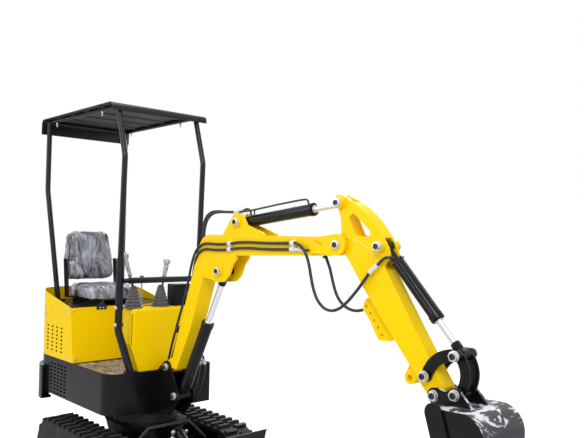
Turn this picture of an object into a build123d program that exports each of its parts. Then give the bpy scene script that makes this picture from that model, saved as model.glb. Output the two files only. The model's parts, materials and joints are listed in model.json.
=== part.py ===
"""A one-tonne mini excavator with a four-post canopy, on rubber tracks.

Millimetres. +X points ahead, along the boom, +Y to the operator's left and +Z up.
The origin lies on the ground under the middle of the whole machine, boom included.
"""
from build123d import *
import os
from math import cos, hypot, radians, sin

os.makedirs("parts", exist_ok=True)

# The slew axis stands behind the middle of the machine's length
slew_x = -767.78

# Clearances
pin_play = 0.3
side_play = 1.0
seat_gap = 0.3

# Tracks
track_length = 1120.0
track_height = 371.0
track_width = 190.0
track_centre_y = 356.0
belt_thick = 22.0
lug_height = 20.0
lug_length = 30.0
lug_pairs = 36
wheel_radius = 118.0
wheel_width = 50.0
roller_radius = 42.0
roller_spread = 600.0
roller_count = 4
roller_width = 110.0
carrier_radius = 26.0
sprocket_teeth = 13
sprocket_root = 100.0
sprocket_half = 13.0
frame_width = 90.0
frame_low_z = 142.0
frame_high_z = 236.0

# Undercarriage centre
car_half_x = 235.0
car_half_y = 150.0
car_low_z = 205.0
car_top_z = 400.0
cross_beam_x = 155.0
cross_beam_wide = 90.0
cross_beam_low_z = 166.0
slew_ring_radius = 195.0
slew_ring_low = 55.0

# Blade and its cylinder
blade_width = 902.0
blade_low_z = 142.0
blade_top_z = 372.0
blade_face_x = slew_x + 634.0
blade_plate = 8.0
blade_pivot = (slew_x + 300.0, 190.0)
blade_arm_y = 130.0
blade_arm_wide = 40.0
blade_cyl_base = (slew_x + 352.0, 392.0)
blade_cyl_eye = (slew_x + 570.0, 268.0)

# House
house_half_y = 354.0
house_low_z = 474.0
deck_z = 713.0
deck_front_x = slew_x + 192.0
seam_x = slew_x - 278.0
seat_box_top_x = slew_x - 323.0
tail_x = slew_x - 885.0
tail_corner = 210.0
nose_corner = 105.0
left_nose_corner = 20.0
skin = 5.0
seat_box_top_z = 1048.0
rim_rear_z = 1140.0
rim_rear_x = slew_x - 760.0
floor_plate_thick = 5.0
rear_vent_rows = 9
rear_vent_cols = 5
side_vent_rows = 7
side_vent_cols = 4

# Canopy
roof_top_z = 2292.0
roof_front_x = slew_x + 100.0
roof_rear_x = slew_x - 896.0
roof_half_y = 335.0
roof_sheet = 4.0
post_y = 275.0
post_radius = 17.0
sleeve_radius = 22.0
rail_radius = 13.0
rail_z = roof_top_z - roof_sheet - seat_gap - rail_radius
kink_front = (slew_x + 160.0, 1978.0)
roof_front_post = (slew_x + 66.0, rail_z)
sleeve_foot_x = slew_x + 150.0
sleeve_foot_y = 200.0
sleeve_bend_z = 955.0
tube_wall = 3.0
sleeve_top_z = 1376.0
post_front_x = slew_x + 140.0
kink_rear = (slew_x - 870.0, 1806.0)
rear_post_y = 292.0
rear_post_foot_x = slew_x - 775.0
rear_post_foot_y = 240.0
handrail_x = slew_x + 166.0
handrail_z = 1246.0
handrail_radius = 14.0
post_bend = 90.0
sleeve_bend = 120.0

# Seat
seat_y = -30.0
seat_half_wide = 178.0
cushion_front_x = slew_x - 335.0
cushion_rear_x = slew_x - 735.0
cushion_low_z = 1090.0
cushion_high_z = 1168.0
back_low_z = 1190.0
back_high_z = 1545.0
back_x = slew_x - 700.0
back_lean = 9.0

# Console and levers
console_rear_x = slew_x + 78.0
console_front_x = slew_x + 178.0
console_half_y = 213.0
console_foot_y = 158.0
console_waist_z = 872.0
console_top_z = 1082.0
console_corner = 30.0
console_sheet = 5.0

# Pins of the arm, as (ahead, up)
foot_pin = (slew_x + 312.0, 749.0)
boom_cyl_base = (slew_x + 404.0, 596.0)
boom_cyl_eye = (slew_x + 793.0, 1332.0)
arm_cyl_base = (slew_x + 941.0, 1593.0)
stick_pin = (slew_x + 1655.0, 1492.0)
arm_cyl_eye = (slew_x + 1657.0, 1677.0)
bucket_cyl_base = (slew_x + 1889.0, 1491.0)
rocker_pin = (slew_x + 2131.0, 997.0)
rocker_top = (slew_x + 2266.0, 1092.0)
bucket_pin = (slew_x + 2177.0, 931.0)
bucket_link_pin = (slew_x + 2270.0, 949.0)

# Holes for a thumb: a lug near the bucket and a row in a bracket under the stick
thumb_lug = (slew_x + 2036.0, 970.0)
thumb_hole = 7.0
thumb_row = [(slew_x + 1792.0 + 22 * i, 1232.0 - 28 * i) for i in range(5)]

# Widths of the arm, each half of the full width
pin_radius = 12.5
nut_across = 36.0
nut_thick = 13.0
fork_plate = 12.0
boom_half = 46.0
boom_wall = 6.0
fork_inner = boom_half + side_play
fork_outer = fork_inner + fork_plate
stick_half = 34.0
stick_wall = 6.0
knuckle_plate = 10.0
eye_half = stick_half - knuckle_plate - side_play
rocker_inner = stick_half + side_play
rocker_outer = rocker_inner + 11.0
link_inner = stick_half - 10.0
link_wide = 42.0
link_boss = 24.0
nut_face = fork_outer

# Cylinders: barrel radius, rod radius, barrel length from its pin
boom_cyl = (33.0, 17.0, 500.0)
arm_cyl = (29.0, 14.0, 575.0)
bucket_cyl = (26.0, 13.0, 385.0)
blade_cyl = (25.0, 12.0, 195.0)

# Bucket
bucket_half = 140.0
bucket_front = (slew_x + 2213.0, 905.0)
bucket_heel = (slew_x + 2446.0, 918.0)
bucket_bend = (slew_x + 2444.0, 745.0)
bucket_lip = (slew_x + 2330.0, 545.0)
heel_round = 93.0
bend_round = 80.0
bucket_shell = 6.0
bucket_side = 8.0
cutter_thick = 10.0
tooth_count = 3
tooth_wide = 40.0
tooth_length = 75.0


def across(y):
    """Upright plane along the machine at width y; extrusions run towards -Y."""
    return Plane.XZ.offset(-y)


def slab(sketch, low_y, high_y, mode=Mode.ADD):
    """Extrude a sketch drawn on across(high_y) down to low_y."""
    extrude(sketch, amount=high_y - low_y, mode=mode)


def disc(centre, radius, low_y, high_y, mode=Mode.ADD):
    """Round bar or hole along Y around a pin position."""
    with BuildSketch(across(high_y)) as face:
        with Locations(centre):
            Circle(radius)
    slab(face.sketch, low_y, high_y, mode)


def plate(points, low_y, high_y, corner=0.0, mode=Mode.ADD):
    """Flat plate with rounded corners, cut from an outline of (ahead, up) points."""
    with BuildSketch(across(high_y)) as face:
        with BuildLine():
            Polyline(*points, close=True)
        make_face()
        if corner:
            fillet(face.vertices(), corner)
    slab(face.sketch, low_y, high_y, mode)


def both_sides(points, inner, outer, corner=0.0, mode=Mode.ADD):
    """The same plate on the left and on the right."""
    plate(points, inner, outer, corner, mode)
    plate(points, -outer, -inner, corner, mode)


def hull_plate(circles, low_y, high_y, mode=Mode.ADD):
    """Plate around several (centre, radius) circles."""
    with BuildSketch(across(high_y)) as face:
        for centre, radius in circles:
            with Locations(centre):
                Circle(radius)
        make_hull()
    slab(face.sketch, low_y, high_y, mode)


def nutted_pin(centre, half_length, gap=0.0):
    """Pin across the arm with a nut on each end, left out over the gap in its middle."""
    if gap:
        disc(centre, pin_radius, gap, half_length)
        disc(centre, pin_radius, -half_length, -gap)
    else:
        disc(centre, pin_radius, -half_length, half_length)
    for low_y in (-half_length - nut_thick, half_length):
        with BuildSketch(across(low_y + nut_thick)) as nut:
            with Locations(centre):
                RegularPolygon(nut_across / 2, 6, major_radius=False)
        slab(nut.sketch, low_y, low_y + nut_thick)


def between(start, end, share):
    """Point on the way from start to end, in the side view."""
    return tuple(a + (b - a) * share for a, b in zip(start, end))


def along(start, end):
    """Plane at start with its X towards end and its Z across the machine."""
    return Plane(
        origin=(start[0], 0, start[1]),
        x_dir=(end[0] - start[0], 0, end[1] - start[1]),
        z_dir=(0, -1, 0),
    )


def cylinder_barrel(name, base, eye, sizes, eye_half_width, neck=34.0):
    """Hydraulic barrel with its eye on a neck, and a gland at the mouth."""
    radius, rod, length = sizes
    bore = rod + pin_play
    with BuildPart() as barrel:
        with BuildSketch(along(base, eye)) as half:
            with BuildLine():
                Polyline(
                    (20, 0), (20, radius * 0.6), (neck - 8, radius * 0.6), (neck, radius),
                    (length - 26, radius), (length - 26, radius + 3), (length - 2, radius + 3),
                    (length, radius),
                    (length, bore), (neck + 12, bore), (neck + 12, 0), close=True,
                )
            make_face()
        revolve(axis=Axis((base[0], 0, base[1]), (eye[0] - base[0], 0, eye[1] - base[1])))
        disc(base, pin_radius * 2, -eye_half_width, eye_half_width)
        disc(base, pin_radius + pin_play, -eye_half_width, eye_half_width, Mode.SUBTRACT)
    barrel.part.label = name
    return barrel


def cylinder_rod(name, base, eye, sizes, inner_end, eye_half_width):
    """Chromed rod from inside the barrel to its eye, which holds the middle of its own pin."""
    rod = sizes[1]
    pin = pin_radius
    reach = hypot(eye[0] - base[0], eye[1] - base[1])
    with BuildPart() as rod_part:
        with BuildSketch(along(base, eye)) as half:
            with BuildLine():
                Polyline(
                    (inner_end, 0), (inner_end, rod), (reach - pin * 2.6, rod),
                    (reach - pin * 2.2, rod + 4), (reach - pin * 1.2, rod + 4),
                    (reach - pin * 1.2, 0), close=True,
                )
            make_face()
        revolve(axis=Axis((base[0], 0, base[1]), (eye[0] - base[0], 0, eye[1] - base[1])))
        disc(eye, pin * 1.9, -eye_half_width, eye_half_width)
    rod_part.part.label = name
    return rod_part


# Tracks: a belt loop round the end wheels and rollers, with two rows of bar lugs
belt_radius = wheel_radius + belt_thick
wheel_x = track_length / 2 - lug_height - belt_radius
wheel_z = track_height - lug_height - belt_radius
roller_z = lug_height + belt_thick + roller_radius
roller_end_x = roller_spread / 2
loop_centres = [
    ((slew_x - wheel_x, wheel_z), wheel_radius),
    ((slew_x + wheel_x, wheel_z), wheel_radius),
    ((slew_x - roller_end_x, roller_z), roller_radius),
    ((slew_x + roller_end_x, roller_z), roller_radius),
]
track_low_y = track_centre_y - track_width / 2
track_high_y = track_centre_y + track_width / 2

with BuildPart() as track_left:
    with BuildSketch(across(track_high_y)) as belt_outline:
        for centre, radius in loop_centres:
            with Locations(centre):
                Circle(radius + belt_thick)
        make_hull()
    slab(belt_outline.sketch, track_low_y, track_high_y)
    hull_plate(
        [(c, r + seat_gap) for c, r in loop_centres], track_low_y, track_high_y, Mode.SUBTRACT
    )
    loop = belt_outline.sketch.faces()[0].outer_wire()
    loop_middle = Vector(slew_x, 0, track_height / 2)
    lug_planes = []
    for row, row_y in enumerate((-track_width / 4, track_width / 4)):
        for i in range(lug_pairs):
            share = (i + 0.5 * row) / lug_pairs
            spot = loop.position_at(share)
            spot = Vector(spot.X, track_centre_y + row_y, spot.Z)
            outward = loop.tangent_at(share).cross(Vector(0, 1, 0))
            if outward.dot(Vector(spot.X, 0, spot.Z) - loop_middle) < 0:
                outward = outward * -1
            lug_planes.append(Plane(origin=spot - outward * 3, x_dir=(0, 1, 0), z_dir=outward))
    with BuildSketch(*lug_planes):
        Rectangle(track_width * 0.46, lug_length)
    extrude(amount=lug_height + 3, taper=7)
track_left.part.label = "track_left"
export_step(track_left.part, "parts/track_left.step")

with BuildPart() as track_right:
    mirror(track_left.part, about=Plane.XZ)
track_right.part.label = "track_right"
export_step(track_right.part, "parts/track_right.step")

# Track frames: a beam with hanger plates for the rollers and arms for the end wheels
beam_low_y = track_centre_y - frame_width / 2
beam_high_y = track_centre_y + frame_width / 2
hanger = 9.0
hanger_low_y = track_centre_y - roller_width / 2 - hanger - seat_gap
hanger_high_y = track_centre_y + roller_width / 2 + hanger + seat_gap
beam_end = wheel_x - wheel_radius - 14

with BuildPart() as track_frame_left:
    plate(
        [
            (slew_x - beam_end, frame_low_z), (slew_x + beam_end, frame_low_z),
            (slew_x + beam_end, frame_high_z - 30), (slew_x + beam_end - 60, frame_high_z),
            (slew_x - beam_end + 60, frame_high_z), (slew_x - beam_end, frame_high_z - 30),
        ],
        beam_low_y, beam_high_y,
    )
    for low_y in (hanger_low_y, hanger_high_y - hanger):
        plate(
            [
                (slew_x - roller_end_x - 24, roller_z - 20), (slew_x + roller_end_x + 24, roller_z - 20),
                (slew_x + roller_end_x + 24, frame_low_z), (slew_x + beam_end - 4, frame_low_z + 22),
                (slew_x - beam_end + 4, frame_low_z + 22), (slew_x - roller_end_x - 24, frame_low_z),
            ],
            low_y, low_y + hanger,
        )
        plate(
            [
                (slew_x + beam_end - 60, wheel_z - 26), (slew_x + wheel_x + 26, wheel_z - 26),
                (slew_x + wheel_x + 26, wheel_z + 26), (slew_x + beam_end - 60, wheel_z + 26),
            ],
            low_y, low_y + hanger, 8,
        )
    plate(
        [
            (slew_x - beam_end + 4, frame_low_z + 4), (slew_x + beam_end - 4, frame_low_z + 4),
            (slew_x + beam_end - 4, frame_low_z + 20), (slew_x - beam_end + 4, frame_low_z + 20),
        ],
        hanger_low_y, hanger_high_y,
    )
    plate(
        [
            (slew_x + beam_end - 58, wheel_z - 20), (slew_x + beam_end - 16, wheel_z - 20),
            (slew_x + beam_end - 16, wheel_z + 4), (slew_x + beam_end - 58, wheel_z + 4),
        ],
        hanger_low_y, hanger_high_y,
    )
    plate(
        [
            (slew_x - wheel_x - 40, wheel_z - 46), (slew_x - beam_end + 50, wheel_z - 46),
            (slew_x - beam_end + 50, wheel_z + 20), (slew_x - wheel_x - 40, wheel_z + 46),
        ],
        beam_low_y, beam_low_y + 12, 6,
    )
    disc(
        (slew_x - wheel_x, wheel_z), 62, beam_low_y + 12, track_centre_y - sprocket_half - seat_gap
    )
    plate(
        [
            (slew_x - 20, frame_high_z - 4), (slew_x + 20, frame_high_z - 4),
            (slew_x + 16, frame_high_z + 66), (slew_x - 16, frame_high_z + 66),
        ],
        beam_low_y, beam_low_y + 14, 3,
    )
track_frame_left.part.label = "track_frame_left"
export_step(track_frame_left.part, "parts/track_frame_left.step")

with BuildPart() as track_frame_right:
    mirror(track_frame_left.part, about=Plane.XZ)
track_frame_right.part.label = "track_frame_right"
export_step(track_frame_right.part, "parts/track_frame_right.step")

# Drive sprockets at the rear
tooth_reach = wheel_radius - sprocket_root
with BuildPart() as sprockets:
    with BuildSketch(across(track_centre_y + sprocket_half)) as sprocket_face:
        with Locations((slew_x - wheel_x, wheel_z)):
            Circle(sprocket_root)
            with PolarLocations(sprocket_root + tooth_reach / 2 - 3, sprocket_teeth):
                Trapezoid(26, tooth_reach + 4, 68, rotation=-90)
            with PolarLocations(72, 6):
                Circle(13, mode=Mode.SUBTRACT)
    slab(sprocket_face.sketch, track_centre_y - sprocket_half, track_centre_y + sprocket_half)
    disc((slew_x - wheel_x, wheel_z), 46, track_centre_y, track_centre_y + 30)
    mirror(about=Plane.XZ)
sprockets.part.label = "sprockets"
export_step(sprockets.part, "parts/sprockets.step")

# Idler wheels at the front, on axles that end at the fork plates
with BuildPart() as idlers:
    with BuildSketch(Plane.XY) as idler_half:
        with BuildLine():
            Polyline(
                (0, -roller_width / 2), (22, -roller_width / 2), (22, -wheel_width / 2),
                (wheel_radius - 22, -wheel_width / 2), (wheel_radius, -wheel_width / 2 + 6),
                (wheel_radius, wheel_width / 2 - 6), (wheel_radius - 22, wheel_width / 2),
                (22, wheel_width / 2), (22, roller_width / 2), (0, roller_width / 2), close=True,
            )
        make_face()
    idler_shape = revolve(idler_half.sketch, axis=Axis.Y, mode=Mode.PRIVATE)
    for side in (-1, 1):
        add(Pos(slew_x + wheel_x, side * track_centre_y, wheel_z) * idler_shape)
idlers.part.label = "idlers"
export_step(idlers.part, "parts/idlers.step")

# Bottom rollers with two flanges each, and one carrier roller on top
with BuildPart() as rollers:
    with BuildSketch(Plane.XY) as roller_half:
        with BuildLine():
            Polyline(
                (0, -roller_width / 2), (14, -roller_width / 2), (14, -roller_width / 2 + 6),
                (roller_radius, -roller_width / 2 + 6), (roller_radius, -18), (24, -12), (24, 12),
                (roller_radius, 18), (roller_radius, roller_width / 2 - 6),
                (14, roller_width / 2 - 6), (14, roller_width / 2), (0, roller_width / 2), close=True,
            )
        make_face()
    roller_shape = revolve(roller_half.sketch, axis=Axis.Y, mode=Mode.PRIVATE)
    for side in (-1, 1):
        for i in range(roller_count):
            roller_x = slew_x - roller_end_x + roller_spread * i / (roller_count - 1)
            add(Pos(roller_x, side * track_centre_y, roller_z) * roller_shape)
    carrier_z = track_height - lug_height - belt_thick - carrier_radius - seat_gap
    disc((slew_x, carrier_z), carrier_radius, beam_low_y + 14, beam_high_y)
    disc((slew_x, carrier_z), carrier_radius, -beam_high_y, -beam_low_y - 14)
rollers.part.label = "rollers"
export_step(rollers.part, "parts/rollers.step")

# Centre frame with cross beams, blade ears and the raised bracket of the blade cylinder
with BuildPart() as car_body:
    with BuildSketch(Plane.XY.offset(car_low_z)) as car_base:
        with Locations((slew_x, 0)):
            Rectangle(car_half_x * 2 - 90, car_half_y * 2 - 60)
    with BuildSketch(Plane.XY.offset(car_top_z - 30)) as car_shoulder:
        with Locations((slew_x, 0)):
            Rectangle(car_half_x * 2, car_half_y * 2)
    loft()
    with BuildSketch(Plane.XY.offset(car_top_z - 30)) as car_lid:
        with Locations((slew_x, 0)):
            RectangleRounded(car_half_x * 2, car_half_y * 2 + 60, 70)
    extrude(amount=30)
    for side in (-1, 1):
        with BuildSketch(Plane.XY.offset(cross_beam_low_z)) as cross_beam:
            with Locations((slew_x + side * cross_beam_x, 0)):
                Rectangle(cross_beam_wide, beam_low_y * 2 - 2 * seat_gap)
        extrude(amount=frame_high_z - cross_beam_low_z)
        ear_y = side * blade_arm_y
        for low_y in (ear_y - blade_arm_wide / 2 - 13, ear_y + blade_arm_wide / 2 + 1):
            plate(
                [
                    (slew_x + cross_beam_x, 160), (blade_pivot[0] + 24, 160),
                    (blade_pivot[0] + 30, 220), (slew_x + cross_beam_x, 250),
                ],
                low_y, low_y + 12, 8,
            )
        disc(blade_pivot, pin_radius, ear_y - blade_arm_wide / 2 - 13, ear_y + blade_arm_wide / 2 + 13)
    for low_y in (-34, 22):
        plate(
            [
                (slew_x + car_half_x - 40, 300), (blade_cyl_base[0] - 40, 300),
                (blade_cyl_base[0] + 24, blade_cyl_base[1] - 18),
                (blade_cyl_base[0] + 20, blade_cyl_base[1] + 22),
                (blade_cyl_base[0] - 22, blade_cyl_base[1] + 26), (slew_x + car_half_x - 40, 398),
            ],
            low_y, low_y + 12, 8,
        )
    disc(blade_cyl_base, pin_radius, -34, 34)
car_body.part.label = "car_body"
export_step(car_body.part, "parts/car_body.step")

with BuildPart() as slew_ring:
    with BuildSketch(Plane.XY.offset(car_top_z)) as ring_face:
        with Locations((slew_x, 0)):
            Circle(slew_ring_radius)
    extrude(amount=slew_ring_low - seat_gap)
slew_ring.part.label = "slew_ring"
export_step(slew_ring.part, "parts/slew_ring.step")

# Blade: a curved plate on two arms
with BuildPart() as blade:
    with BuildSketch(across(blade_width / 2)) as blade_side:
        with BuildLine():
            ThreePointArc(
                (blade_face_x + 6, blade_low_z), (blade_face_x - 22, (blade_low_z + blade_top_z) / 2),
                (blade_face_x, blade_top_z),
            )
            Line((blade_face_x, blade_top_z), (blade_face_x - blade_plate, blade_top_z))
            ThreePointArc(
                (blade_face_x - blade_plate, blade_top_z),
                (blade_face_x - 22 - blade_plate, (blade_low_z + blade_top_z) / 2),
                (blade_face_x + 6 - blade_plate, blade_low_z),
            )
            Line((blade_face_x + 6 - blade_plate, blade_low_z), (blade_face_x + 6, blade_low_z))
        make_face()
    slab(blade_side.sketch, -blade_width / 2, blade_width / 2)
    for side in (-1, 1):
        arm_y = side * blade_arm_y
        plate(
            [
                (blade_pivot[0] + 34, 168), (blade_face_x - 24, 186),
                (blade_face_x - 24, 262), (blade_pivot[0] + 34, 212),
            ],
            arm_y - blade_arm_wide / 2, arm_y + blade_arm_wide / 2,
        )
        hull_plate(
            [(blade_pivot, 26), ((blade_pivot[0] + 40, 190), 22)],
            arm_y - blade_arm_wide / 2, arm_y + blade_arm_wide / 2,
        )
        disc(
            blade_pivot, pin_radius + pin_play,
            arm_y - blade_arm_wide / 2, arm_y + blade_arm_wide / 2, Mode.SUBTRACT,
        )
    for low_y in (-34, 22):
        plate(
            [
                (blade_cyl_eye[0] - 22, blade_cyl_eye[1] - 22), (blade_face_x - 18, 210),
                (blade_face_x - 18, 330), (blade_cyl_eye[0] - 16, blade_cyl_eye[1] + 24),
            ],
            low_y, low_y + 12, 6,
        )
    nutted_pin(blade_cyl_eye, 34, 22)
blade.part.label = "blade"
export_step(blade.part, "parts/blade.step")

blade_cyl_barrel = cylinder_barrel("blade_cyl_barrel", blade_cyl_base, blade_cyl_eye, blade_cyl, 21)
export_step(blade_cyl_barrel.part, "parts/blade_cyl_barrel.step")
blade_cyl_rod = cylinder_rod("blade_cyl_rod", blade_cyl_base, blade_cyl_eye, blade_cyl, 67, 21)
export_step(blade_cyl_rod.part, "parts/blade_cyl_rod.step")


def plan(z, rear_x, front_x, half_y, tail_round=0.0, nose_round=0.0, left_round=0.0):
    """Level outline of the house at height z, rounded at the tail and at the nose."""
    with BuildSketch(Plane.XY.offset(z)) as outline:
        with BuildLine():
            Polyline(
                (front_x, -half_y), (rear_x, -half_y), (rear_x, half_y), (front_x, half_y), close=True
            )
        make_face()
        if tail_round:
            fillet(outline.vertices().group_by(Axis.X)[0], tail_round)
        if nose_round:
            fillet(outline.vertices().group_by(Axis.X)[-1].sort_by(Axis.Y)[0], nose_round)
        if left_round:
            fillet(outline.vertices().group_by(Axis.X)[-1].sort_by(Axis.Y)[-1], left_round)
    return outline.sketch


# House: a base plate on the ring
inner_half_y = house_half_y - skin
with BuildPart() as house_base:
    with BuildSketch(Plane.XY.offset(car_top_z + slew_ring_low)) as hub:
        with Locations((slew_x, 0)):
            Circle(slew_ring_radius + 8)
    extrude(amount=house_low_z - car_top_z - slew_ring_low)
    extrude(
        plan(
            house_low_z, tail_x + skin + seat_gap, deck_front_x - skin - seat_gap,
            inner_half_y - seat_gap, tail_corner - skin, nose_corner - skin, left_nose_corner - skin,
        ),
        amount=12,
    )
house_base.part.label = "house_base"
export_step(house_base.part, "parts/house_base.step")

# Black skirt round the front half
with BuildPart() as skirt:
    extrude(
        plan(house_low_z, seam_x, deck_front_x, house_half_y, 0, nose_corner, left_nose_corner),
        amount=deck_z - house_low_z,
    )
    extrude(
        plan(
            house_low_z, seam_x - 1, deck_front_x - skin, inner_half_y, 0,
            nose_corner - skin, left_nose_corner - skin,
        ),
        amount=deck_z - house_low_z, mode=Mode.SUBTRACT,
    )
skirt.part.label = "skirt"
export_step(skirt.part, "parts/skirt.step")

# Black rear skirt with a grid of slots in each side
with BuildPart() as rear_skirt:
    extrude(plan(house_low_z, tail_x, seam_x, house_half_y, tail_corner), amount=deck_z - house_low_z)
    extrude(
        plan(house_low_z, tail_x + skin, seam_x + 1, inner_half_y, tail_corner - skin),
        amount=deck_z - house_low_z, mode=Mode.SUBTRACT,
    )
    with BuildSketch(across(house_half_y)) as rear_vents:
        with Locations((slew_x - 482, 581)):
            with GridLocations(50, 22.5, rear_vent_cols, rear_vent_rows):
                SlotOverall(34, 10)
    slab(rear_vents.sketch, -house_half_y, house_half_y, Mode.SUBTRACT)
rear_skirt.part.label = "rear_skirt"
export_step(rear_skirt.part, "parts/rear_skirt.step")

# Yellow tail shell, whose rim climbs towards the back
with BuildPart() as tail_shell:
    extrude(plan(deck_z, tail_x, seam_x, house_half_y, tail_corner), amount=rim_rear_z - deck_z)
    extrude(
        plan(deck_z, tail_x + skin, seam_x + 1, inner_half_y, tail_corner - skin),
        amount=rim_rear_z - deck_z, mode=Mode.SUBTRACT,
    )
    plate(
        [
            (seam_x, deck_z), (seam_x + 10, deck_z), (seam_x + 10, rim_rear_z + 10),
            (rim_rear_x, rim_rear_z + 10), (rim_rear_x, rim_rear_z - 6),
            (seat_box_top_x, seat_box_top_z),
        ],
        -house_half_y, house_half_y, mode=Mode.SUBTRACT,
    )
    with BuildSketch(across(house_half_y)) as side_vents:
        with Locations((slew_x - 553, 832)):
            with GridLocations(68, 25, side_vent_cols, side_vent_rows):
                SlotOverall(30, 13)
    slab(side_vents.sketch, -house_half_y, house_half_y, Mode.SUBTRACT)
tail_shell.part.label = "tail_shell"
export_step(tail_shell.part, "parts/tail_shell.step")

# Thick guard and counterweight round the tail, hooked in below the skirt
guard_thick = 24.0
guard_low_z = 428.0
guard_high_z = 645.0
guard_front_x = slew_x - 668.0
with BuildPart() as rear_guard:
    outer = guard_thick + seat_gap
    extrude(
        plan(guard_low_z, tail_x - outer, guard_front_x, house_half_y + outer, tail_corner + outer),
        amount=guard_high_z - guard_low_z,
    )
    extrude(
        plan(
            guard_low_z, tail_x - seat_gap, guard_front_x + 1, house_half_y + seat_gap,
            tail_corner + seat_gap,
        ),
        amount=guard_high_z - guard_low_z, mode=Mode.SUBTRACT,
    )
    extrude(
        plan(
            guard_low_z, tail_x - outer, guard_front_x, house_half_y + outer,
            tail_corner + outer,
        ),
        amount=14,
    )
    extrude(
        plan(guard_low_z, tail_x + 40, guard_front_x, house_half_y - 40, tail_corner - 40),
        amount=14, mode=Mode.SUBTRACT,
    )
rear_guard.part.label = "rear_guard"
export_step(rear_guard.part, "parts/rear_guard.step")

# Yellow panel in front of the seat box, leaning back a little
box_lean = (seam_x - seat_box_top_x) / (seat_box_top_z - deck_z)
panel_half_y = inner_half_y - seat_gap
with BuildPart() as seat_box:
    plate(
        [
            (seam_x, deck_z), (seat_box_top_x, seat_box_top_z),
            (seat_box_top_x - 4, seat_box_top_z), (seam_x - 4, deck_z),
        ],
        -panel_half_y, panel_half_y,
    )
seat_box.part.label = "seat_box"
export_step(seat_box.part, "parts/seat_box.step")

# Black plate over the seat box
seat_plate_thick = 6.0
with BuildPart() as seat_plate:
    extrude(
        plan(
            seat_box_top_z + seat_gap, tail_x + skin + seat_gap, seat_box_top_x - 6,
            panel_half_y, tail_corner - skin,
        ),
        amount=seat_plate_thick,
    )
seat_plate.part.label = "seat_plate"
export_step(seat_plate.part, "parts/seat_plate.step")
seat_plate_z = seat_box_top_z + seat_gap + seat_plate_thick

# Seat rails, with a bracket up each side of the backrest
rail_high_z = cushion_low_z - seat_gap
with BuildPart() as seat_frame:
    for y in (seat_y - 115, seat_y + 115):
        with BuildSketch(Plane.XY.offset(seat_plate_z)) as rail_foot:
            with Locations(((cushion_front_x + cushion_rear_x) / 2, y)):
                Rectangle(cushion_front_x - cushion_rear_x - 40, 34)
        extrude(amount=rail_high_z - seat_plate_z)
    with BuildSketch(Plane.XY.offset(rail_high_z - 8)) as rail_tie:
        with Locations((cushion_rear_x + 40, seat_y)):
            Rectangle(44, seat_half_wide * 2 + 26)
    extrude(amount=8)
    bracket_inner = seat_half_wide + seat_gap
    for low_y in (seat_y - bracket_inner - 10, seat_y + bracket_inner):
        plate(
            [
                (cushion_rear_x + 18, rail_high_z - 8), (cushion_rear_x + 62, rail_high_z - 8),
                (cushion_rear_x + 48, 1230), (cushion_rear_x + 20, 1340), (cushion_rear_x - 18, 1340),
                (cushion_rear_x, 1200),
            ],
            low_y, low_y + 10, 6,
        )
seat_frame.part.label = "seat_frame"
export_step(seat_frame.part, "parts/seat_frame.step")

with BuildPart() as seat_cushion:
    with BuildSketch(Plane.XY.offset(cushion_low_z)) as cushion_plan:
        with Locations(((cushion_front_x + cushion_rear_x) / 2, seat_y)):
            RectangleRounded(cushion_front_x - cushion_rear_x, seat_half_wide * 2, 60)
    extrude(amount=cushion_high_z - cushion_low_z)
    fillet(seat_cushion.faces().sort_by(Axis.Z)[-1].edges(), 24)
seat_cushion.part.label = "seat_cushion"
export_step(seat_cushion.part, "parts/seat_cushion.step")

back_thick = 78.0
back_plane = Plane(
    origin=(back_x, seat_y, back_low_z),
    x_dir=(0, -1, 0),
    z_dir=(-cos(radians(back_lean)), 0, -sin(radians(back_lean))),
)
back_height = (back_high_z - back_low_z) / cos(radians(back_lean))
with BuildPart() as seat_back:
    with BuildSketch(back_plane) as back_face:
        with BuildLine():
            Polyline(
                (-seat_half_wide, 0), (-seat_half_wide, 180), (-seat_half_wide + 26, back_height),
                (seat_half_wide - 26, back_height), (seat_half_wide, 180), (seat_half_wide, 0),
                close=True,
            )
        make_face()
        fillet(back_face.vertices(), 55)
    extrude(amount=back_thick)
    fillet(seat_back.faces().sort_by(Axis.X)[-1].edges(), 20)
seat_back.part.label = "seat_back"
export_step(seat_back.part, "parts/seat_back.step")

# Floor plate just under the skirt's edge
floor_low_z = deck_z - 11.0
with BuildPart() as floor_plate:
    extrude(
        plan(
            floor_low_z, seam_x + seat_gap, deck_front_x - skin - seat_gap, inner_half_y - seat_gap,
            0, nose_corner - skin, left_nose_corner - skin,
        ),
        amount=floor_plate_thick,
    )
floor_plate.part.label = "floor_plate"
export_step(floor_plate.part, "parts/floor_plate.step")
floor_z = floor_low_z + floor_plate_thick

# Yellow front console, narrower at its foot
console_plane = Plane(origin=(console_front_x, 0, 0), x_dir=(0, 1, 0), z_dir=(1, 0, 0))
with BuildPart() as console:
    with BuildSketch(console_plane) as console_face:
        with BuildLine():
            Polyline(
                (-console_foot_y, floor_z), (-console_half_y, console_waist_z),
                (-console_half_y, console_top_z), (console_half_y, console_top_z),
                (console_half_y, console_waist_z), (console_foot_y, floor_z), close=True,
            )
        make_face()
        fillet(console_face.vertices().group_by(Axis.Y)[-1], console_corner)
    extrude(amount=-(console_front_x - console_rear_x))
    fillet(console.faces().sort_by(Axis.X)[-1].edges().group_by(Axis.Z)[-1], 22)
    with BuildSketch(console_plane.offset(-console_sheet)) as console_inside:
        with BuildLine():
            Polyline(
                (-console_foot_y + console_sheet, floor_z),
                (-console_half_y + console_sheet, console_waist_z),
                (-console_half_y + console_sheet, console_top_z - console_corner),
                (console_half_y - console_sheet, console_top_z - console_corner),
                (console_half_y - console_sheet, console_waist_z),
                (console_foot_y - console_sheet, floor_z), close=True,
            )
        make_face()
    extrude(amount=console_rear_x - console_front_x + 2 * console_sheet, mode=Mode.SUBTRACT)
console.part.label = "console"
export_step(console.part, "parts/console.step")

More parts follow.
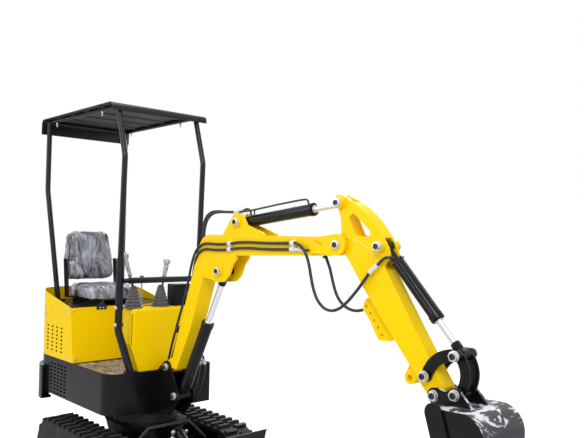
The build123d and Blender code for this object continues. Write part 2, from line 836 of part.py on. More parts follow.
# Two ribbed bellows on the console
bellow_spots = [(slew_x + 124, -160.0), (slew_x + 124, 10.0)]
bellow_ribs = 5
bellow_height = 86.0
bellow_base = 44.0
bellow_tip = 20.0
rib = bellow_height / bellow_ribs
with BuildPart() as bellows:
    with BuildSketch(Plane.XZ) as bellow_half:
        with BuildLine():
            steps = [(0, 0)]
            for i in range(bellow_ribs):
                radius = bellow_base + (bellow_tip - bellow_base) * i / (bellow_ribs - 1)
                steps += [
                    (radius, rib * i + 1), (radius - 2, rib * (i + 0.55)), (radius - 9, rib * (i + 1)),
                ]
            steps += [(0, bellow_height)]
            Polyline(*steps, close=True)
        make_face()
    bellow_shape = revolve(bellow_half.sketch, axis=Axis.Z, mode=Mode.PRIVATE)
    for x, y in bellow_spots:
        add(Pos(x, y, console_top_z + seat_gap) * bellow_shape)
bellows.part.label = "bellows"
export_step(bellows.part, "parts/bellows.step")

# Two main levers with grips, and small levers between them
lever_foot_z = console_top_z + seat_gap + bellow_height + seat_gap
with BuildPart() as control_levers:
    with BuildSketch(Plane.XZ) as lever_half:
        with BuildLine():
            Polyline(
                (0, 0), (8, 0), (8, 88), (15, 96), (20, 150), (17, 190), (8, 202), (0, 204), close=True,
            )
        make_face()
    lever_shape = revolve(lever_half.sketch, axis=Axis.Z, mode=Mode.PRIVATE)
    for x, y in bellow_spots:
        add(Pos(x, y, lever_foot_z) * lever_shape)
control_levers.part.label = "control_levers"
export_step(control_levers.part, "parts/control_levers.step")

with BuildPart() as side_box:
    with BuildSketch(Plane.XY.offset(console_top_z + seat_gap)) as side_box_plan:
        with Locations((slew_x + 122, 143)):
            RectangleRounded(86, 122, 10)
    extrude(amount=132)
    fillet(side_box.faces().sort_by(Axis.Z)[-1].edges(), 8)
side_box.part.label = "side_box"
export_step(side_box.part, "parts/side_box.step")

# Engine and pump as one plain block under the seat
with BuildPart() as engine_block:
    with BuildSketch(Plane.XY.offset(house_low_z + 12 + seat_gap)) as engine_plan:
        with Locations((slew_x - 560, 0)):
            Rectangle(400, 380)
    extrude(amount=400)
engine_block.part.label = "engine_block"
export_step(engine_block.part, "parts/engine_block.step")

# Canopy: tube frame, lower sleeves with the handrail, and a sheet roof with rolled lips
def tube(points, radius, bends=0.0, mode=Mode.ADD):
    """Round bar along a bent path, or the bore of a tube."""
    with BuildLine() as path:
        if bends:
            FilletPolyline(*points, radius=bends)
        else:
            Line(*points)
    with BuildSketch(path.line ^ 0) as section:
        Circle(radius)
    sweep(sections=section.sketch, path=path.line, mode=mode)


def tubes(runs):
    """Tubes given as (points, radius, bends), first all their outsides and then all their bores."""
    for points, radius, bends in runs:
        tube(points, radius, bends)
    for points, radius, bends in runs:
        tube(points, radius - tube_wall, bends, Mode.SUBTRACT)


rear_rail_x = kink_rear[0]
front_rail_x = roof_front_post[0]
rear_foot_thick = 10.0
frame_runs = []
for side in (-1, 1):
    frame_runs.append((
        [
            (post_front_x, side * post_y, sleeve_top_z + seat_gap),
            (kink_front[0], side * post_y, kink_front[1]),
            (front_rail_x, side * post_y, rail_z),
        ],
        post_radius, post_bend,
    ))
    frame_runs.append((
        [
            (rear_post_foot_x, side * rear_post_foot_y, seat_plate_z + seat_gap + rear_foot_thick),
            (rear_rail_x, side * rear_post_y, kink_rear[1]),
            (rear_rail_x, side * rear_post_y, rail_z),
        ],
        post_radius, post_bend,
    ))
    frame_runs.append((
        [
            (front_rail_x - post_radius / 2, side * (post_y - 2), rail_z),
            (rear_rail_x + post_radius / 2, side * (rear_post_y - 2), rail_z),
        ],
        rail_radius, 0,
    ))
frame_runs.append((
    [(front_rail_x, -post_y, rail_z), (front_rail_x, post_y, rail_z)], rail_radius, 0
))
frame_runs.append((
    [(rear_rail_x, -rear_post_y, rail_z), (rear_rail_x, rear_post_y, rail_z)], rail_radius, 0
))
with BuildPart() as canopy_frame:
    tubes(frame_runs)
    for side in (-1, 1):
        with BuildSketch(Plane.XY.offset(seat_plate_z + seat_gap)) as rear_foot:
            with Locations((rear_post_foot_x + 8, side * rear_post_foot_y)):
                Rectangle(80, 60)
        extrude(amount=rear_foot_thick)
canopy_frame.part.label = "canopy_frame"
export_step(canopy_frame.part, "parts/canopy_frame.step")

sleeve_foot_thick = 10.0
sleeve_runs = []
for side in (-1, 1):
    sleeve_runs.append((
        [
            (sleeve_foot_x, side * sleeve_foot_y, floor_z + sleeve_foot_thick),
            (post_front_x - 6, side * post_y, sleeve_bend_z),
            (post_front_x, side * post_y, sleeve_top_z),
        ],
        sleeve_radius, sleeve_bend,
    ))
sleeve_runs.append((
    [(handrail_x, -post_y + 6, handrail_z), (handrail_x, post_y - 6, handrail_z)], handrail_radius, 0
))
with BuildPart() as post_sleeves:
    tubes(sleeve_runs)
    for side in (-1, 1):
        with BuildSketch(Plane.XY.offset(floor_z)) as sleeve_foot_plate:
            with Locations((sleeve_foot_x, side * sleeve_foot_y)):
                RectangleRounded(62, 70, 8)
        extrude(amount=sleeve_foot_thick)
post_sleeves.part.label = "post_sleeves"
export_step(post_sleeves.part, "parts/post_sleeves.step")

roof_low_z = rail_z + rail_radius + seat_gap
lip_radius = 30.0
with BuildPart() as canopy_roof:
    with BuildSketch(across(roof_half_y)) as roof_side:
        with BuildLine() as roof_line:
            FilletPolyline(
                (roof_front_x, roof_low_z - 44), (roof_front_x, roof_low_z),
                (roof_rear_x, roof_low_z), (roof_rear_x - 4, roof_low_z - 96),
                radius=lip_radius,
            )
            offset(amount=roof_sheet, side=Side.RIGHT)
        make_face()
    slab(roof_side.sketch, -roof_half_y, roof_half_y)
canopy_roof.part.label = "canopy_roof"
export_step(canopy_roof.part, "parts/canopy_roof.step")

# Boom bracket on the house: a back plate and two cheeks that carry both pins
with BuildPart() as boom_bracket:
    with BuildSketch(Plane.YZ.offset(deck_front_x)) as bracket_back:
        with Locations((0, (house_low_z + deck_z) / 2)):
            Rectangle(fork_outer * 2 + 60, deck_z - house_low_z)
    extrude(amount=12)
    for side in (-1, 1):
        low_y, high_y = sorted((side * fork_inner, side * fork_outer))
        hull_plate(
            [
                (foot_pin, 36), (boom_cyl_base, 42), ((deck_front_x + 14, deck_z - 24), 14),
                ((deck_front_x + 14, house_low_z + 14), 14), ((deck_front_x + 150, house_low_z + 14), 14),
            ],
            low_y, high_y,
        )
    nutted_pin(foot_pin, nut_face)
    nutted_pin(boom_cyl_base, nut_face)
boom_bracket.part.label = "boom_bracket"
export_step(boom_bracket.part, "parts/boom_bracket.step")

# Boom: a bent box beam
leg_slope = 0.372
boom_top_z = 1524.0
boom_under_z = 1410.0
boom_end = (slew_x + 1598.0, 1442.0)
boom_heel = (slew_x + 336.0, 752.0)
boom_toe = (slew_x + 441.0, 746.0)
toe_cut = 41.0
toe_cut_z = 1000.0
knee_top_x = boom_heel[0] + leg_slope * (boom_top_z - boom_heel[1])
knee_under_x = boom_toe[0] + leg_slope * (boom_under_z - boom_toe[1])
boom_outline = [
    boom_heel, (knee_top_x, boom_top_z), (boom_end[0], boom_top_z + 2),
    boom_end, (knee_under_x, boom_under_z),
    (boom_toe[0] + leg_slope * (toe_cut_z - boom_toe[1]), toe_cut_z), (boom_toe[0] - toe_cut, boom_toe[1]),
]


def boom_face(y):
    """Side outline of the box beam with its rounded knee."""
    with BuildSketch(across(y)) as face:
        with BuildLine():
            Polyline(*boom_outline, close=True)
        make_face()
        fillet(face.vertices().sort_by_distance((knee_top_x, boom_top_z))[0], 105)
        fillet(face.vertices().sort_by_distance((knee_under_x, boom_under_z))[0], 125)
    return face.sketch


doubler_x = slew_x + 1503.0
doubler_notch = 70.0
cyl_lug = [
    (slew_x + 640, 1290), (slew_x + 722, 1282), (slew_x + 768, 1270), (slew_x + 828, 1276),
    (slew_x + 872, 1310), (slew_x + 900, 1370), (slew_x + 952, 1420), (slew_x + 700, 1430),
]
arm_bracket = [
    (slew_x + 800, 1510), (slew_x + 862, 1588), (slew_x + 905, 1640), (slew_x + 972, 1632),
    (slew_x + 1012, 1578), (slew_x + 1110, 1548), (slew_x + 1225, 1510),
]
with BuildPart() as boom:
    slab(boom_face(boom_half), -boom_half, boom_half)
    with BuildSketch(across(boom_half - boom_wall)) as boom_inside:
        add(offset(boom_face(boom_half - boom_wall), amount=-boom_wall, mode=Mode.PRIVATE))
    slab(boom_inside.sketch, -boom_half + boom_wall, boom_half - boom_wall, Mode.SUBTRACT)
    hull_plate(
        [(foot_pin, 34), (boom_heel, 16), ((boom_heel[0] + 60, boom_heel[1] + 60), 16)],
        -boom_half, boom_half,
    )
    disc(foot_pin, pin_radius + pin_play, -boom_half, boom_half, Mode.SUBTRACT)
    both_sides(cyl_lug, boom_half - fork_plate, boom_half, 14)
    both_sides(arm_bracket, boom_half - fork_plate, boom_half, 14)
    for low_y, high_y in ((boom_half, fork_outer), (-fork_outer, -boom_half)):
        hull_plate(
            [(stick_pin, 48), ((doubler_x, boom_top_z - 10), 6), ((doubler_x, boom_end[1] + 14), 6)],
            low_y, high_y,
        )
        plate(
            [
                (doubler_x - 20, boom_top_z + 10), (doubler_x + doubler_notch, stick_pin[1]),
                (doubler_x - 20, boom_end[1]),
            ],
            low_y, high_y, mode=Mode.SUBTRACT,
        )
        for centre in (boom_cyl_eye, arm_cyl_base):
            disc(centre, 25, low_y, high_y)
    nutted_pin(boom_cyl_eye, nut_face, boom_half - fork_plate)
    nutted_pin(arm_cyl_base, nut_face)
    nutted_pin(stick_pin, nut_face)
boom.part.label = "boom"
export_step(boom.part, "parts/boom.step")

# Stick: a knuckle of two plates under a curved back, and a tapering box leg
knuckle_tail = (slew_x + 1925, 1485)
knuckle_back = ThreePointArc((slew_x + 1650, 1712), (slew_x + 1800, 1628), knuckle_tail)
knuckle_strip = [knuckle_back @ share for share in (0.22, 0.55, 0.86)]
knuckle_chin = (slew_x + 1618, 1456)
stick_leg = [
    knuckle_tail, (slew_x + 1936, 1450), (slew_x + 1906, 1411), (slew_x + 2071, 1162),
    (slew_x + 2212, 962), (slew_x + 2198, 898), (slew_x + 2146, 904), (slew_x + 2091, 968),
    (slew_x + 1822, 1278), (slew_x + 1690, 1446), knuckle_chin,
]
stick_window = [
    (slew_x + 1700, 1614), (slew_x + 1728, 1630), (slew_x + 1750, 1616), (slew_x + 1830, 1548),
    (slew_x + 1816, 1526), (slew_x + 1744, 1536),
]
stick_pocket = [
    (slew_x + 1590, 1550), (slew_x + 1590, 1760), (slew_x + 1990, 1760),
    (slew_x + 1990, 1380), (slew_x + 1900, 1400), (slew_x + 1860, 1440), (slew_x + 1800, 1516),
    (slew_x + 1700, 1540),
]
stick_inside = [
    (slew_x + 1716, 1440), (slew_x + 1790, 1490), (slew_x + 1846, 1420), (slew_x + 1880, 1396),
    (slew_x + 2058, 1161), (slew_x + 2148, 1036), (slew_x + 2092, 984), (slew_x + 1832, 1284),
]
thumb_plate = [
    (slew_x + 1850, 1290), (slew_x + 1786, 1262), (slew_x + 1770, 1220), (slew_x + 1808, 1180),
    (slew_x + 1838, 1132), (slew_x + 1862, 1096), (slew_x + 1918, 1098), (slew_x + 1975, 1130),
]
with BuildPart() as stick:
    with BuildSketch(across(stick_half)) as stick_side:
        with BuildLine():
            ThreePointArc(*[(spot.X, spot.Y) for spot in (knuckle_back @ 0, knuckle_back @ 0.5, knuckle_back @ 1)])
            Polyline(*stick_leg)
            ThreePointArc(knuckle_chin, (slew_x + 1657, 1600), (slew_x + 1612, 1686))
            Polyline((slew_x + 1612, 1686), (slew_x + 1626, 1712), (slew_x + 1650, 1712))
        make_face()
        fillet(stick_side.vertices(), 12)
    slab(stick_side.sketch, -stick_half, stick_half)
    plate(stick_pocket, -stick_half + knuckle_plate, stick_half - knuckle_plate, mode=Mode.SUBTRACT)
    with BuildSketch(across(stick_half - knuckle_plate)) as strip_side:
        with BuildLine():
            ThreePointArc(*[(spot.X, spot.Y) for spot in knuckle_strip])
            offset(amount=knuckle_plate, side=Side.RIGHT)
        make_face()
    slab(strip_side.sketch, -stick_half + knuckle_plate, stick_half - knuckle_plate)
    plate(stick_window, -stick_half, stick_half, 12, Mode.SUBTRACT)
    plate(stick_inside, -stick_half + stick_wall, stick_half - stick_wall, mode=Mode.SUBTRACT)
    plate(thumb_plate, -10, 10, 10)
    for centre in thumb_row:
        disc(centre, thumb_hole, -10, 10, Mode.SUBTRACT)
    hull_plate([(thumb_lug, 26), ((slew_x + 2060, 1010), 30)], -22, 22)
    disc(thumb_lug, pin_radius + pin_play, -22, 22, Mode.SUBTRACT)
    for centre, boss in ((stick_pin, 30), (rocker_pin, 24), (bucket_pin, 30)):
        disc(centre, boss, -stick_half, stick_half)
    disc(stick_pin, 30, -boom_half + 0.5, boom_half - 0.5)
    disc(bucket_pin, 30, -boom_half + 0.5, boom_half - 0.5)
    for centre in (stick_pin, rocker_pin, bucket_pin):
        disc(centre, pin_radius + pin_play, -boom_half, boom_half, Mode.SUBTRACT)
    for centre in (arm_cyl_eye, bucket_cyl_base):
        disc(centre, 25, stick_half, nut_face)
        disc(centre, 25, -nut_face, -stick_half)
    nutted_pin(arm_cyl_eye, nut_face, stick_half - knuckle_plate)
    nutted_pin(bucket_cyl_base, nut_face)
stick.part.label = "stick"
export_step(stick.part, "parts/stick.step")


def curved_link(start, bulge, end, wide, low_y, high_y):
    """Curved bar around an arc of three points."""
    with BuildSketch(across(high_y)) as bar:
        with BuildLine(mode=Mode.PRIVATE) as middle:
            ThreePointArc(start, bulge, end)
        SlotArc(middle.edges()[0], wide)
    slab(bar.sketch, low_y, high_y)


# Rocker arms outside the stick, with both their pins
rocker_bulge = (slew_x + 2176, 1062)
with BuildPart() as rocker:
    for low_y, high_y in ((rocker_inner, rocker_outer), (-rocker_outer, -rocker_inner)):
        curved_link(rocker_pin, rocker_bulge, rocker_top, 46, low_y, high_y)
    for centre in (rocker_pin, rocker_top):
        disc(centre, 22, rocker_outer, nut_face)
        disc(centre, 22, -nut_face, -rocker_outer)
    nutted_pin(rocker_pin, nut_face)
    nutted_pin(rocker_top, nut_face, rocker_inner)
rocker.part.label = "rocker"
export_step(rocker.part, "parts/rocker.step")

# Bucket link: two curved plates between the rocker arms
link_bulge = (slew_x + 2297, 1024)
with BuildPart() as bucket_link:
    for low_y, high_y in ((link_inner, stick_half), (-stick_half, -link_inner)):
        curved_link(rocker_top, link_bulge, bucket_link_pin, link_wide, low_y, high_y)
    disc(bucket_link_pin, link_boss, -boom_half + 0.5, boom_half - 0.5)
    disc(bucket_link_pin, pin_radius + pin_play, -boom_half, boom_half, Mode.SUBTRACT)
bucket_link.part.label = "bucket_link"
export_step(bucket_link.part, "parts/bucket_link.step")

# Bucket: bent shell between two side plates, with cutters, teeth and ears
bucket_outside = [bucket_front, bucket_heel, bucket_bend, bucket_lip]
floor_long = hypot(bucket_lip[0] - bucket_bend[0], bucket_lip[1] - bucket_bend[1])
floor_run = ((bucket_lip[0] - bucket_bend[0]) / floor_long, (bucket_lip[1] - bucket_bend[1]) / floor_long)


def past_lip(run, inward):
    """Point so far beyond the bucket's lip along its floor, and so far inside of it."""
    return (
        bucket_lip[0] + floor_run[0] * run + floor_run[1] * inward,
        bucket_lip[1] + floor_run[1] * run - floor_run[0] * inward,
    )


with BuildPart() as bucket:
    with BuildSketch(across(bucket_half)) as bucket_wrap:
        with BuildLine():
            FilletPolyline(*bucket_outside, radius=[heel_round, bend_round])
            offset(amount=bucket_shell, side=Side.RIGHT)
        make_face()
    slab(bucket_wrap.sketch, -bucket_half, bucket_half)
    for low_y in (-bucket_half, bucket_half - bucket_side):
        with BuildSketch(across(low_y + bucket_side)) as bucket_cheek:
            with BuildLine():
                FilletPolyline(*bucket_outside, radius=[heel_round, bend_round])
                Line(bucket_lip, bucket_front)
            make_face()
        slab(bucket_cheek.sketch, low_y, low_y + bucket_side)
    for side in (-1, 1):
        low_y, high_y = sorted((side * bucket_half, side * (bucket_half + cutter_thick)))
        hull_plate(
            [
                ((bucket_front[0] + 25, bucket_front[1] - 13), 37), (past_lip(-20, 28), 14),
                (past_lip(-34, -32), 14),
            ],
            low_y, high_y,
        )
        low_y, high_y = sorted((side * fork_inner, side * fork_outer))
        hull_plate(
            [
                (bucket_pin, 30), (bucket_link_pin, 28), ((bucket_front[0] + 16, bucket_front[1] - 2), 8),
                ((bucket_link_pin[0] + 62, bucket_front[1] + 8), 8),
            ],
            low_y, high_y,
        )
        saddle = between(bucket_pin, bucket_link_pin, 0.5)
        disc((saddle[0], saddle[1] + 58), 42, low_y, high_y, Mode.SUBTRACT)
    for centre in (bucket_pin, bucket_link_pin):
        nutted_pin(centre, nut_face)
    for i in range(tooth_count):
        tooth_y = (i / (tooth_count - 1) - 0.5) * (bucket_half * 2 - tooth_wide)
        plate(
            [
                past_lip(-40, bucket_shell - 1), past_lip(6, bucket_shell + 10), past_lip(tooth_length, 5),
                past_lip(tooth_length, 0), past_lip(8, -10), past_lip(-40, -8),
            ],
            tooth_y - tooth_wide / 2, tooth_y + tooth_wide / 2,
        )
bucket.part.label = "bucket"
export_step(bucket.part, "parts/bucket.step")

# The three cylinders of the arm
boom_cyl_barrel = cylinder_barrel("boom_cyl_barrel", boom_cyl_base, boom_cyl_eye, boom_cyl, 45)
export_step(boom_cyl_barrel.part, "parts/boom_cyl_barrel.step")
boom_cyl_rod = cylinder_rod(
    "boom_cyl_rod", boom_cyl_base, boom_cyl_eye, boom_cyl, 280, boom_half - fork_plate - 1
)
export_step(boom_cyl_rod.part, "parts/boom_cyl_rod.step")
arm_cyl_barrel = cylinder_barrel(
    "arm_cyl_barrel", arm_cyl_base, arm_cyl_eye, arm_cyl, boom_half - fork_plate - 1
)
export_step(arm_cyl_barrel.part, "parts/arm_cyl_barrel.step")
arm_cyl_rod = cylinder_rod("arm_cyl_rod", arm_cyl_base, arm_cyl_eye, arm_cyl, 140, eye_half)
export_step(arm_cyl_rod.part, "parts/arm_cyl_rod.step")
bucket_cyl_barrel = cylinder_barrel(
    "bucket_cyl_barrel", bucket_cyl_base, rocker_top, bucket_cyl, eye_half, 88
)
export_step(bucket_cyl_barrel.part, "parts/bucket_cyl_barrel.step")
bucket_cyl_rod = cylinder_rod("bucket_cyl_rod", bucket_cyl_base, rocker_top, bucket_cyl, 224, eye_half)
export_step(bucket_cyl_rod.part, "parts/bucket_cyl_rod.step")
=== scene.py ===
"""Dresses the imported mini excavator: hoses, fittings, seat, paint, rubber, chrome and studio."""
import bmesh
import bpy
import json
import math
from mathutils import Matrix, Vector, noise


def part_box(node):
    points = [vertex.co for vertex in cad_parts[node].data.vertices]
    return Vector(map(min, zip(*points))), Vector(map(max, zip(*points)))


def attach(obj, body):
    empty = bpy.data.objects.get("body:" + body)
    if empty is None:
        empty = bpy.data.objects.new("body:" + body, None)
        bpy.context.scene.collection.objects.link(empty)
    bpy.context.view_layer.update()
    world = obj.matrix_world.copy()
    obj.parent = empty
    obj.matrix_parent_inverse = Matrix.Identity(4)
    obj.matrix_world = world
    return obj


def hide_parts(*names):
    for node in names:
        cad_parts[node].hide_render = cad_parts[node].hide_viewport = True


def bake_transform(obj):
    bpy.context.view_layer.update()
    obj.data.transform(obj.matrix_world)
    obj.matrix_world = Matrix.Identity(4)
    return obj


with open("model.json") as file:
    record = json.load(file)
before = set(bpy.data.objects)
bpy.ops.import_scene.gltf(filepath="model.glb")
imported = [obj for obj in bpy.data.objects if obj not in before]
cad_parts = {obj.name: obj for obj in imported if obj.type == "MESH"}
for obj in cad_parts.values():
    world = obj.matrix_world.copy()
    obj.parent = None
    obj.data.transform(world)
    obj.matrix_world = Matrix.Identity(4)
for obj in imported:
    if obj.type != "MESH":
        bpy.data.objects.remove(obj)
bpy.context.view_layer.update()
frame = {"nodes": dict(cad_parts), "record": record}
scene = bpy.context.scene
nodes = frame["nodes"]

# The slew axis, in metres; places are given in millimetres ahead of it
SLEW = -0.76778


def here(x, z, y=0.0):
    """Point in the frame from millimetres ahead of the slew axis, up and to the left."""
    return Vector((SLEW + x / 1000, y / 1000, z / 1000))


# Pins at the two ends of each cylinder, as (x, z), and the half width that the nuts sit on
BOOM_BASE, BOOM_EYE = (404, 596), (793, 1332)
ARM_BASE, ARM_EYE = (941, 1593), (1657, 1677)
BUCKET_BASE, BUCKET_EYE = (1889, 1491), (2266, 1092)
BLADE_BASE, BLADE_EYE = (352, 392), (570, 268)
CHEEK = 59

# Camera
camera_data = bpy.data.cameras.new("camera")
camera_data.sensor_width = 36.0
camera_data.lens = 41.62
camera = bpy.data.objects.new("camera", camera_data)
scene.collection.objects.link(camera)
ahead = Vector((-0.733638, 0.679085, 0.024897)).normalized()
aside = Vector((0.679529, 0.733351, 0.020897))
upward = aside.cross(ahead).normalized()
aside = ahead.cross(upward).normalized()
turn_camera = Matrix((aside, upward, -ahead)).transposed()
camera.matrix_world = Matrix.Translation((3.696012 + SLEW, -2.216265, 1.52685)) @ turn_camera.to_4x4()
scene.camera = camera


# Materials
def add(tree, kind, inputs=None, **settings):
    """New shader node: its settings, then its sockets, each a plain value or a link from another node."""
    node = tree.nodes.new("ShaderNode" + kind)
    for name, value in settings.items():
        setattr(node, name, value)
    for socket, value in (inputs or {}).items():
        if isinstance(value, bpy.types.NodeSocket):
            tree.links.new(value, node.inputs[socket])
        else:
            node.inputs[socket].default_value = value
    return node


def surface(name, specular, coat, coat_rough, stretch):
    """New material, its tree and shader, the object's coordinates, and the same ones stretched."""
    mat = bpy.data.materials.new(name)
    mat.use_nodes = True
    tree = mat.node_tree
    shader = tree.nodes["Principled BSDF"]
    shader.inputs["Specular IOR Level"].default_value = specular
    shader.inputs["Coat Weight"].default_value = coat
    shader.inputs["Coat Roughness"].default_value = coat_rough
    place = add(tree, "TexCoord").outputs["Object"]
    sized = add(tree, "Mapping", {"Vector": place, "Scale": stretch}).outputs[0]
    return mat, tree, shader, place, sized


def emboss(tree, shader, height, strength, depth):
    """Small relief on the shader's normal."""
    bump = add(tree, "Bump", {"Strength": strength, "Distance": depth, "Height": height})
    tree.links.new(bump.outputs["Normal"], shader.inputs["Normal"])


def material(name, colour, rough, metallic=0.0, coat=0.0, mottle=0.06, scale=9.0, rough_mottle=0.12,
             grain=0.0, grain_scale=400.0, dust=0.0, dust_colour=(0.3, 0.27, 0.23), specular=0.5,
             stretch=(1, 1, 1)):
    """Painted, moulded or cast surface: tone and gloss drift a little, with grain and settled dust."""
    mat, tree, shader, place, sized = surface(name, specular, coat, 0.08, stretch)
    shader.inputs["Metallic"].default_value = metallic
    cloud = add(tree, "TexNoise", {
        "Vector": sized, "Scale": scale, "Detail": 6.0, "Roughness": 0.62,
    }).outputs["Fac"]
    last = add(tree, "Mix", {
        "A": (*(c * (1 - mottle) for c in colour), 1),
        "B": (*(min(1.0, c * (1 + mottle)) for c in colour), 1),
        "Factor": cloud,
    }, data_type="RGBA").outputs["Result"]
    if dust:
        face = add(tree, "NewGeometry")
        split = add(tree, "SeparateXYZ", {0: face.outputs["Normal"]})
        speck = add(tree, "TexNoise", {"Vector": place, "Scale": scale * 6, "Detail": 8.0})
        lift = add(tree, "MapRange", {
            "Value": split.outputs["Z"], "From Min": 0.3, "From Max": 1.0, "To Max": dust,
        })
        part = add(tree, "Math", {0: lift.outputs["Result"], 1: speck.outputs["Fac"]}, operation="MULTIPLY")
        last = add(tree, "Mix", {
            "A": last, "B": (*dust_colour, 1), "Factor": part.outputs[0],
        }, data_type="RGBA").outputs["Result"]
    tree.links.new(last, shader.inputs["Base Color"])
    gloss = add(tree, "MapRange", {
        "Value": cloud, "From Min": 0.3, "From Max": 0.7,
        "To Min": max(0.02, rough - rough_mottle), "To Max": min(1.0, rough + rough_mottle),
    })
    tree.links.new(gloss.outputs["Result"], shader.inputs["Roughness"])
    if grain:
        fine = add(tree, "TexNoise", {"Vector": sized, "Scale": grain_scale, "Detail": 3.0})
        emboss(tree, shader, fine.outputs["Fac"], grain, 0.001)
    return mat


def patched(name, under, over, low, high, rough, scale, stretch=(1, 1, 1), crease=0.6, coat=0.0, band=None):
    """Pale streaks and patches over the colour beneath, within a band of heights: painted sheen on crumpled film,
    painted highlights on the bucket and wear on the floor plate.
    """
    mat, tree, shader, place, sized = surface(name, 0.4, coat, 0.1, stretch)
    streak = add(tree, "TexNoise", {
        "Vector": sized, "Scale": scale, "Detail": 9.0, "Roughness": 0.66, "Distortion": 1.6,
    }).outputs["Fac"]
    share = add(tree, "MapRange", {"Value": streak, "From Min": low, "From Max": high}).outputs["Result"]
    if band:
        split = add(tree, "SeparateXYZ", {0: place})
        fade = add(tree, "MapRange", {"Value": split.outputs["Z"], "From Min": band[0], "From Max": band[1]})
        share = add(tree, "Math", {0: share, 1: fade.outputs["Result"]}, operation="MULTIPLY").outputs[0]
    tone = add(tree, "Mix", {"A": (*under, 1), "B": (*over, 1), "Factor": share}, data_type="RGBA")
    tree.links.new(tone.outputs["Result"], shader.inputs["Base Color"])
    gloss = add(tree, "MapRange", {"Value": streak, "To Min": rough, "To Max": min(1.0, rough + 0.25)})
    tree.links.new(gloss.outputs["Result"], shader.inputs["Roughness"])
    emboss(tree, shader, streak, crease, 0.004)
    return mat


yellow = material("yellow_enamel", (0.96, 0.635, 0.0002), 0.32, mottle=0.03, rough_mottle=0.06,
                  grain=0.08, grain_scale=260, specular=0.09)
black = material("black_enamel", (0.005, 0.005, 0.0062), 0.24, mottle=0.3, rough_mottle=0.1,
                 grain=0.1, grain_scale=300, dust=0.03, specular=0.2)
tube_black = material("tube_enamel", (0.009, 0.010, 0.015), 0.22, mottle=0.2, rough_mottle=0.06, specular=0.3)
cylinder_black = material("cylinder_enamel", (0.006, 0.006, 0.008), 0.18, mottle=0.25,
                          rough_mottle=0.06, specular=0.22)
chrome = material("chromed_rod", (0.78, 0.79, 0.8), 0.1, metallic=1.0, mottle=0.03, rough_mottle=0.05)
rubber = material("track_rubber", (0.012, 0.012, 0.013), 0.55, mottle=0.3, scale=16, grain=0.5,
                  grain_scale=180, dust=0.4, dust_colour=(0.15, 0.13, 0.12), specular=0.2)
wheel = material("wheel_steel", (0.02, 0.02, 0.021), 0.45, mottle=0.3, grain=0.4, grain_scale=120, dust=0.2,
                 specular=0.3)
vinyl = material("seat_vinyl", (0.014, 0.014, 0.016), 0.4, mottle=0.2, grain=0.4, grain_scale=500)
# Clear film on the seat: its pale streaks are painted sheen over the black beneath
seat_film_painted_sheen = patched("seat_film_painted_sheen", (0.012, 0.012, 0.017), (0.6, 0.62, 0.7), 0.40, 0.66, 0.14, 6.5,
                    (1, 1.9, 0.6), 1.0, coat=0.6)
# Clear film on the lever grips: its pale streaks are painted sheen over the grey beneath
grip_film_painted_sheen = patched("grip_film_painted_sheen", (0.16, 0.16, 0.17), (0.7, 0.71, 0.74), 0.4, 0.62, 0.18, 60,
                    (1, 1, 0.5), 0.7, coat=0.4)
# Bucket: pale patches painted as highlights over the dark paint, on its upper faces only
bucket_painted_highlight = patched("bucket_painted_highlight", (0.030, 0.033, 0.040), (0.72, 0.73, 0.75), 0.50, 0.53, 0.26, 9,
                      (1.3, 0.7, 1.3), 0.3, band=(0.84, 0.87))
floor_steel = patched("floor_steel", (0.11, 0.075, 0.05), (0.5, 0.42, 0.36), 0.42, 0.7, 0.35, 16,
                      (1, 1, 1), 0.2)
bellow_rubber = material("bellow_rubber", (0.085, 0.085, 0.088), 0.55, mottle=0.15, grain=0.3,
                         grain_scale=300)
grip_plastic = material("grip_plastic", (0.015, 0.015, 0.016), 0.35, mottle=0.2, grain=0.3, grain_scale=350)
iron = material("engine_iron", (0.05, 0.05, 0.05), 0.6, mottle=0.3, grain=0.6, grain_scale=60)
zinc = material("zinc_nut", (0.66, 0.64, 0.62), 0.3, metallic=0.85, mottle=0.18, scale=60, rough_mottle=0.14)
dark_steel = material("dark_steel", (0.02, 0.02, 0.024), 0.35, metallic=0.3, mottle=0.3, scale=50)
pale_plastic = material("pale_plastic", (0.72, 0.71, 0.7), 0.42, mottle=0.12, scale=70, grain=0.2)
hose_rubber = material("hose_rubber", (0.022, 0.023, 0.032), 0.42, mottle=0.3, scale=40, grain=0.35,
                       grain_scale=700, specular=0.35)
pipe_black = material("pipe_black", (0.018, 0.018, 0.02), 0.3, mottle=0.3, scale=30)
# Weld beads: the yellow paint made paler as a painted highlight
weld_yellow_painted_highlight = material("weld_bead_painted_highlight", (0.95, 0.66, 0.09), 0.25, mottle=0.08, scale=80, grain=0.6,
                       grain_scale=220, specular=0.6)
roof_under = material("roof_underside", (0.035, 0.029, 0.026), 0.5, mottle=0.35, scale=6, specular=0.25)
rim_steel = material("rim_steel", (0.05, 0.047, 0.046), 0.35, mottle=0.4, scale=20, specular=0.3)
worn_edge = material("worn_edge", (0.36, 0.31, 0.24), 0.4, metallic=0.5, mottle=0.4, scale=30, grain=0.4)
by_slot = {
    "yellow_paint": yellow, "black_paint": black, "cylinder_black": cylinder_black, "rod_chrome": chrome,
    "track_rubber": rubber, "wheel_steel": wheel, "seat_vinyl": vinyl, "floor_steel": floor_steel,
    "bellow_rubber": bellow_rubber, "lever_plastic": grip_plastic, "engine_iron": iron,
}
for entry in frame["record"]["subparts"]:
    node = nodes[entry["node"]]
    node.data.materials.clear()
    node.data.materials.append(by_slot[entry["material_slot"]])
for name in ("canopy_frame", "post_sleeves", "canopy_roof"):
    nodes[name].data.materials[0] = tube_black


def paint(name, mat, chosen):
    """Gives the chosen faces of a CAD node another material."""
    mesh = nodes[name].data
    mesh.materials.append(mat)
    for face in mesh.polygons:
        if chosen(face.center, face.normal):
            face.material_index = len(mesh.materials) - 1


